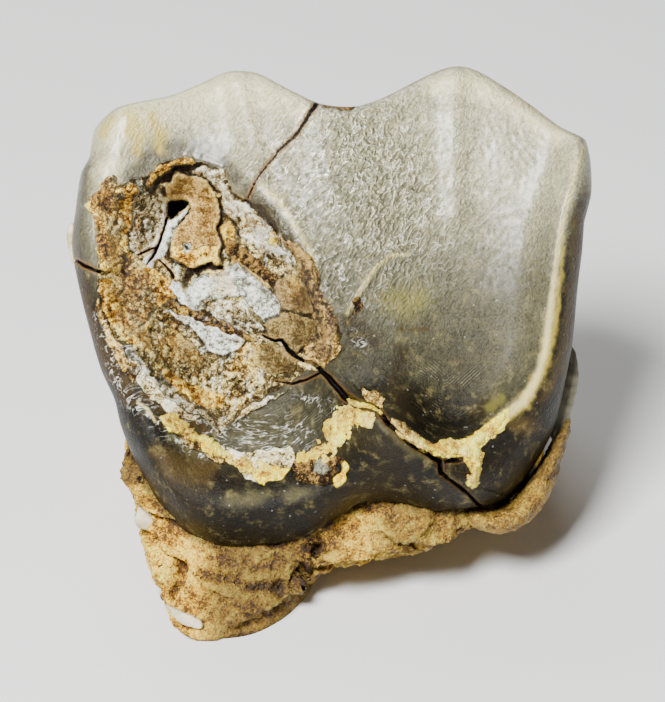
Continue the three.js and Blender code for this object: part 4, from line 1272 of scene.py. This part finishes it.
def mineral_stain():
    """Clouds of stain over a base colour."""
    inputs = {"Scale": 120.0, "Amount": 0.5, "Stain": (0.1, 0.06, 0.03, 1.0), "Base": (0.5, 0.5, 0.5, 1.0)}
    group, t, ports = node_group("Mineral stain", inputs, {"Color": "NodeSocketColor"})
    clouds = t.grain(ports["Scale"], 6.0, 0.65, twist=0.6)
    cover = t.times(t.step(clouds, 0.45, 0.68), ports["Amount"])
    t.give(Color=t.blend(cover, ports["Base"], ports["Stain"]))
    return group


def fine_scratches():
    """Long, fine and upright scratches: how light they are, and their height."""
    group, t, ports = node_group("Fine scratches", {"Strength": 1.0},
                                 {"Light": "NodeSocketFloat", "Height": "NodeSocketFloat"})
    long = t.swing(420.0, 5.0, 0.65, (0.55, 1.0, 1.0), 1.4)
    fine = t.swing(2300.0, 3.0, 0.75)
    upright = t.swing(1500.0, 3.0, 0.6, (1.0, 0.25, 0.25))
    both = t.plus(t.plus(t.times(long, 0.8), t.times(fine, 2.2)), t.times(upright, 0.8))
    t.give(Light=t.plus(1.0, t.times(both, ports["Strength"])),
           Height=t.plus(t.times(long, 0.5), t.times(fine, 0.8)))
    return group


def grain_sparkle():
    """Roughness that jumps between smooth and dull grains."""
    group, t, ports = node_group("Grain sparkle", {"Smooth": 0.25, "Dull": 0.7},
                                 {"Roughness": "NodeSocketFloat"})
    dull = t.step(t.grain(1300.0, 3.0, 0.6), 0.4, 0.6)
    t.give(Roughness=t.amount(dull, ports["Smooth"], ports["Dull"]))
    return group


groups = {"grains": cemented_grains(), "tones": three_tones(), "stain": mineral_stain(),
          "scratches": fine_scratches(), "sparkle": grain_sparkle()}


def material(name):
    made = bpy.data.materials.new(name)
    made.use_nodes = True
    t = Tree(made.node_tree)
    made.node_tree.nodes.clear()
    shader = t.add("BsdfPrincipled")
    t.put(t.add("OutputMaterial").inputs["Surface"], shader.outputs[0])
    return made, t, shader


def use(t, key, **values):
    """A shared effect with its own values."""
    return t.add("Group", values, node_tree=groups[key]).outputs


def toned(t, tone, tones):
    dark, mid, light = (colour(parts) for parts in tones[:3])
    return use(t, "tones", Tone=tone, Dark=dark, Mid=mid, Light=light)["Color"]


def painted(t, base, name, cover):
    return t.blend(cover, base, colour(name))


def bumped(t, shader, height, strength, distance):
    bump = t.add("Bump", {"Height": height, "Strength": strength, "Distance": distance})
    t.put(shader.inputs["Normal"], bump.outputs[0])


def growth_lines(t):
    """Fine lines that follow the rims, worn away in places."""
    growing = t.plus(t.times(t.mask("growth"), 15.0), t.times(t.grain(160.0, 2.0), 16.0))
    worn = t.step(t.grain(220.0, 5.0, 0.7), 0.42, 0.62)
    return t.times(t.times(t.math("SINE", growing), t.mask("lined")), worn)


def sound_enamel(t, light, scratches, crinkled, creased, lines):
    """Unbroken enamel: dark at the base, light above, scratched, crinkled with painted glints along the
    crinkle lines and painted shade between them, and lined.
    """
    tone = t.plus(light, t.times(t.swing(60.0, 6.0, 0.65), 0.55), clamp=True)
    enamel = painted(t, colour("dark enamel"), "mid enamel", t.step(tone, 0.0, 0.5))
    enamel = painted(t, enamel, "light enamel", t.step(tone, 0.4, 1.0))
    enamel = use(t, "stain", Base=enamel, Stain=colour("amber"), Scale=90.0,
                 Amount=t.amount(light, 0.14, 0.22))["Color"]
    enamel = t.blend(1.0, enamel, scratches["Light"], "MULTIPLY")
    # painted shade between the crinkle lines
    shade = t.times(t.times(t.step(creased, 0.05, 0.15), crinkled), 0.3)
    enamel = painted(t, enamel, "mid enamel", shade)
    # painted glints along the crinkle lines, in patches; the same near-white also colours pale flecks and
    # streaks
    patchy = t.step(t.grain(330.0, 3.0, 0.6), 0.36, 0.56)
    pale_fleck_and_painted_glint = t.times(t.minus(1.0, t.step(creased, 0.0, 0.035)), t.times(t.times(crinkled, light), patchy))
    enamel = painted(t, enamel, "pale_fleck_and_painted_glint", t.times(pale_fleck_and_painted_glint, 0.9))
    return painted(t, enamel, "light enamel", t.times(t.step(lines, 0.2, 1.0), 0.3))


# How strongly each stain, painted light and painted shade covers the enamel, and how torn its edge is
STAINS_AND_PAINTED_LIGHT = {"painted_top_light": (0.6, 0.8), "painted_shade": (0.8, 0.6), "amber": (0.7, 0.8), "yellow": (0.42, 0.5),
          "honey": (0.7, 1.2), "pale": (0.5, 0.4), "cream_and_painted_highlight": (0.75, 1.4), "grime": (0.9, 1.3)}


# paints the stains over the enamel, and with them the painted top light, the painted shade and the painted
# highlights of the cream and pale strokes
def stains_and_painted_light(t, enamel, ragged):
    for name, (much, torn) in STAINS_AND_PAINTED_LIGHT.items():
        edge = t.plus(t.mask(name), t.times(ragged, torn))
        enamel = painted(t, enamel, name, t.times(t.step(edge, 0.0, 1.1), much))
    return enamel


def broken_ground(t, enamel, tone, ragged, striae):
    """The finishes of the broken lobe and its crusts over the enamel, and how far they cover it."""
    coverage = 0.0
    for name, tones in FINISHES.items():
        cover = t.step(t.plus(t.mask(name), t.times(ragged, 1.5)), 0.28, 0.72)
        enamel = t.blend(cover, enamel, toned(t, tone, tones))
        coverage = t.larger(coverage, cover)
    rusty = t.times(t.times(t.step(t.grain(110.0, 6.0, 0.7), 0.52, 0.66), coverage), 0.6)
    enamel = t.blend(rusty, enamel, toned(t, tone, FINISHES["rust"]))
    flaking = t.plus(t.plus(t.mask("ground"), t.mask("flaky")), t.mask("chalk"), clamp=True)
    flecks = t.times(t.step(t.grain(520.0, 6.0, 0.7, (1.0, 0.5, 0.5)), 0.57, 0.64), flaking)
    flecks = t.larger(flecks, t.times(striae, coverage))
    enamel = t.blend(t.times(flecks, 0.85), enamel, toned(t, tone, FINISHES["dentine"]))
    # the dark umber lines: a dark brown line under the fossa's rim with painted shade, and the painted
    # shadows of the middle rib's edge and under the tan plate
    dark_line = t.step(t.plus(t.mask("umber_and_painted_shade"), ragged), 0.3, 0.8)
    enamel = painted(t, enamel, "umber_and_painted_shade", t.times(dark_line, 0.9))
    # painted shade in the recesses of the broken ground
    recess = t.times(t.step(t.mask("cavity"), 0.4, 2.0), t.times(coverage, 0.75))
    return painted(t, enamel, "umber_and_painted_shade", recess), coverage


def dusted(t, enamel, bare):
    """Single pale specks of dust on the bare enamel."""
    parts, distance = t.cells(950.0)
    small = t.minus(1.0, t.step(distance, 0.08, 0.22))
    specks = t.times(t.step(parts[1], 0.72, 0.9), small)
    return painted(t, enamel, "pale_fleck_and_painted_glint", t.times(specks, t.times(bare, 0.16)))


def cracked(t, enamel, light, ragged):
    """Open cracks with a rusty edge, and the hole, painted near-black as the shade inside them."""
    apart = t.minus(t.math("ABSOLUTE", t.mask("crack")), t.mask("crack_half"))
    opened = t.minus(1.0, t.step(apart, -0.08, 0.1))
    beside = t.times(t.minus(1.0, t.step(t.plus(apart, ragged), 0.0, 0.5)), t.amount(light, 0.15, 0.6))
    enamel = painted(t, enamel, "crack edge", beside)
    # painted shade inside the open cracks and the hole
    return painted(t, enamel, "deep", t.larger(opened, t.step(t.mask("hole"), -0.1, 0.25)))


def enamel_material():
    made, t, shader = material("Fossil enamel")
    light, wrinkled, ragged = t.mask("light"), t.mask("wrinkled"), t.swing(420.0, 6.0, 0.7)
    crinkled = t.step(wrinkled, 0.2, 1.0)
    creased = t.flowing(1150.0, 0.7, 2.2, 1.5, 0.4)
    lines = growth_lines(t)
    scratches = use(t, "scratches", Strength=1.2)
    grains = use(t, "grains", Size=1600.0, Grit=t.mask("grit"), Cavity=t.mask("cavity"))
    striae = t.minus(1.0, t.step(t.flowing(900.0, 1.4, 3.5), 0.0, 0.05))
    striae = t.times(t.times(striae, t.step(t.grain(500.0, 3.0, 0.6), 0.42, 0.6)), t.mask("streaks"))
    enamel = stains_and_painted_light(t, sound_enamel(t, light, scratches, crinkled, creased, lines), ragged)
    enamel = painted(t, enamel, "pale_fleck_and_painted_glint", t.times(striae, 0.75))
    enamel, coverage = broken_ground(t, enamel, grains["Tone"], ragged, striae)
    bare = t.minus(1.0, coverage)
    enamel = cracked(t, dusted(t, enamel, bare), light, ragged)
    sheen = t.times(t.step(light, 0.3, 0.95), bare)
    gloss = t.amount(crinkled, t.plus(t.amount(light, 0.4, 0.5), t.times(ragged, 0.5)), 0.24)
    sparkle = use(t, "sparkle", Smooth=0.25, Dull=0.7)["Roughness"]
    values = {"Base Color": enamel, "Roughness": t.amount(coverage, gloss, sparkle),
              "Metallic": t.times(t.amount(crinkled, 0.12, 0.5), sheen),
              "Specular IOR Level": t.amount(sheen, 0.18, 0.4), "Coat Roughness": 0.3,
              "Coat Weight": t.times(t.times(sheen, 0.7), t.amount(crinkled, 1.0, 0.5))}
    for name, value in values.items():
        t.put(shader.inputs[name], value)
    height = t.plus(scratches["Height"], t.times(lines, 0.12))
    height = t.plus(height, t.times(t.times(creased, -5.0), wrinkled))
    bumped(t, shader, t.amount(coverage, height, grains["Height"]), 0.9, 0.0003)
    return made


def grainy_material(name, tones, others, stain, size=1500.0, rough=0.75):
    """Cemented sand in two sets of tones, stained, with painted shade in its hollows and a painted shadow of
    the crown where the stain mask says.
    """
    made, t, shader = material(name)
    grains = use(t, "grains", Size=size, Grit=t.mask("grit"), Cavity=t.mask("cavity"))
    base = t.blend(t.step(t.grain(170.0, 6.0, 0.7), 0.42, 0.6), toned(t, grains["Tone"], tones),
                   toned(t, grains["Tone"], others))
    base = use(t, "stain", Base=base, Stain=colour(stain), Scale=140.0, Amount=0.35)["Color"]
    # painted shade in the hollows
    base = painted(t, base, "umber_and_painted_shade", t.times(t.step(t.mask("cavity"), 0.8, 3.0), 0.4))
    # painted shadow of the crown, from the stain mask
    t.put(shader.inputs["Base Color"], painted(t, base, "umber_and_painted_shade", t.times(t.mask("stain"), 0.75)))
    t.put(shader.inputs["Roughness"], use(t, "sparkle", Smooth=0.45, Dull=rough)["Roughness"])
    bumped(t, shader, grains["Height"], 0.9, 0.0004)
    return made


def flake_material(name, light, dark, gloss):
    """Smooth fossil bone or enamel, cloudy and lightly scratched."""
    made, t, shader = material(name)
    base = t.blend(t.step(t.grain(300.0, 4.0, 0.6, (0.4, 1.0, 1.0)), 0.3, 0.7), colour(light), colour(dark))
    base = use(t, "stain", Base=base, Stain=colour("grime"), Scale=320.0, Amount=0.4)["Color"]
    t.put(shader.inputs["Base Color"], base)
    shader.inputs["Roughness"].default_value = gloss
    bumped(t, shader, use(t, "scratches", Strength=1.0)["Height"], 0.3, 0.0002)
    return made


def finish_piece(piece, node, look):
    piece.data.materials.append(look)
    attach(piece, "root")
    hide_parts(node)


def add_crown():
    enamel = enamel_material()
    for piece in (lofted("crown", *with_sides(*crown_rings())), broken_skin()):
        finish_piece(piece, "tooth", enamel)


# The tones of the sandstone: in the pits, between and on the grains, in its bright and in its dull parts
SANDSTONE = ((98, 62, 8), (228, 168, 30), (255, 238, 96)), ((82, 54, 10), (186, 134, 28), (250, 208, 80))


def add_stone():
    stone = grainy_material("Tan sandstone", *SANDSTONE, "grime", 1300.0, 0.92)
    finish_piece(make_stone(), "sandstone_matrix", stone)


def add_sand():
    """The rusty sand of the fossa and the yellow crusts of the rim."""
    rusty = grainy_material("Rusty sand", FINISHES["rust"], FINISHES["ground"], "grime")
    iron = grainy_material("Iron-stained sand", FINISHES["iron"], FINISHES["sand"], "umber_and_painted_shade")
    yellow = grainy_material("Yellow crust", FINISHES["crust"], FINISHES["nodule"], "crack edge")
    looks = {"fossa_sand": rusty, "fossa_wall_sand": iron}
    for name, runs in SAND_RUNS.items():
        finish_piece(sand_patch(name + "_skin", runs), name, looks.get(name, yellow))


def add_flakes():
    pale = flake_material("Pale bone", (222, 210, 178), (168, 150, 108), 0.5)
    grey = flake_material("Grey enamel plate", (124, 120, 98), (70, 68, 54), 0.38)
    for name, (outline, thick, level) in FLAKES.items():
        slot, look = ("grey_plate", grey) if name == "side_plate" else ("pale_chip", pale)
        finish_piece(flake(name + "_flake", outline, thick, level), name, look)


FLOOR_HALF_WIDTH = 3000


def make_floor():
    made, _, shader = material("Pale floor")
    shader.inputs["Base Color"].default_value = (0.72, 0.72, 0.71, 1.0)
    shader.inputs["Roughness"].default_value = 0.8
    corners = np.array([(-1, -1, 0), (1, -1, 0), (1, 1, 0), (-1, 1, 0)]) * FLOOR_HALF_WIDTH
    floor = make_mesh("floor", corners, [(0, 1, 2, 3)])
    floor.data.materials.append(made)


def soft_light(name, place, power, size, target=(0, 0, 0.04)):
    lamp = bpy.data.lights.new(name, "AREA")
    lamp.energy, lamp.size = power, size
    made = bpy.data.objects.new(name, lamp)
    made.location = place
    made.rotation_euler = (Vector(target) - Vector(place)).to_track_quat("-Z", "Y").to_euler()
    bpy.context.collection.objects.link(made)


# Each light: its place in metres, its power and its size
LIGHTS = {"key": ((-0.24, -0.48, 0.68), 22.0, 0.26), "fill": ((0.7, -0.4, 0.3), 0.7, 0.5),
          "back": ((-0.2, 0.6, 0.6), 4.0, 0.5)}


def studio():
    make_floor()
    for name, settings in LIGHTS.items():
        soft_light(name, *settings)
    world = bpy.data.worlds.new("studio")
    world.use_nodes = True
    world.node_tree.nodes["Background"].inputs[0].default_value = (0.75, 0.76, 0.78, 1.0)
    world.node_tree.nodes["Background"].inputs[1].default_value = 0.12
    bpy.context.scene.world = world


CAMERA_DISTANCE = 0.56
FRAME_HEIGHT = 702 * PIXEL / 1000


def place_camera():
    """The camera looks square at the outer wall, as the picture does."""
    data = bpy.data.cameras.new("camera")
    data.sensor_fit = "VERTICAL"
    data.sensor_height = 24
    data.lens = data.sensor_height * CAMERA_DISTANCE / FRAME_HEIGHT
    camera = bpy.data.objects.new("camera", data)
    middle = Vector(on_face(np.array(0.4), np.array(-0.2), np.array(-4.0)) / 1000)
    towards = Vector((0, -math.cos(LEAN), math.sin(LEAN)))
    camera.location = middle + towards * CAMERA_DISTANCE
    camera.rotation_euler = (-towards).to_track_quat("-Z", "Y").to_euler()
    bpy.context.collection.objects.link(camera)
    bpy.context.scene.camera = camera


add_crown()
add_stone()
add_sand()
add_flakes()
studio()
place_camera()
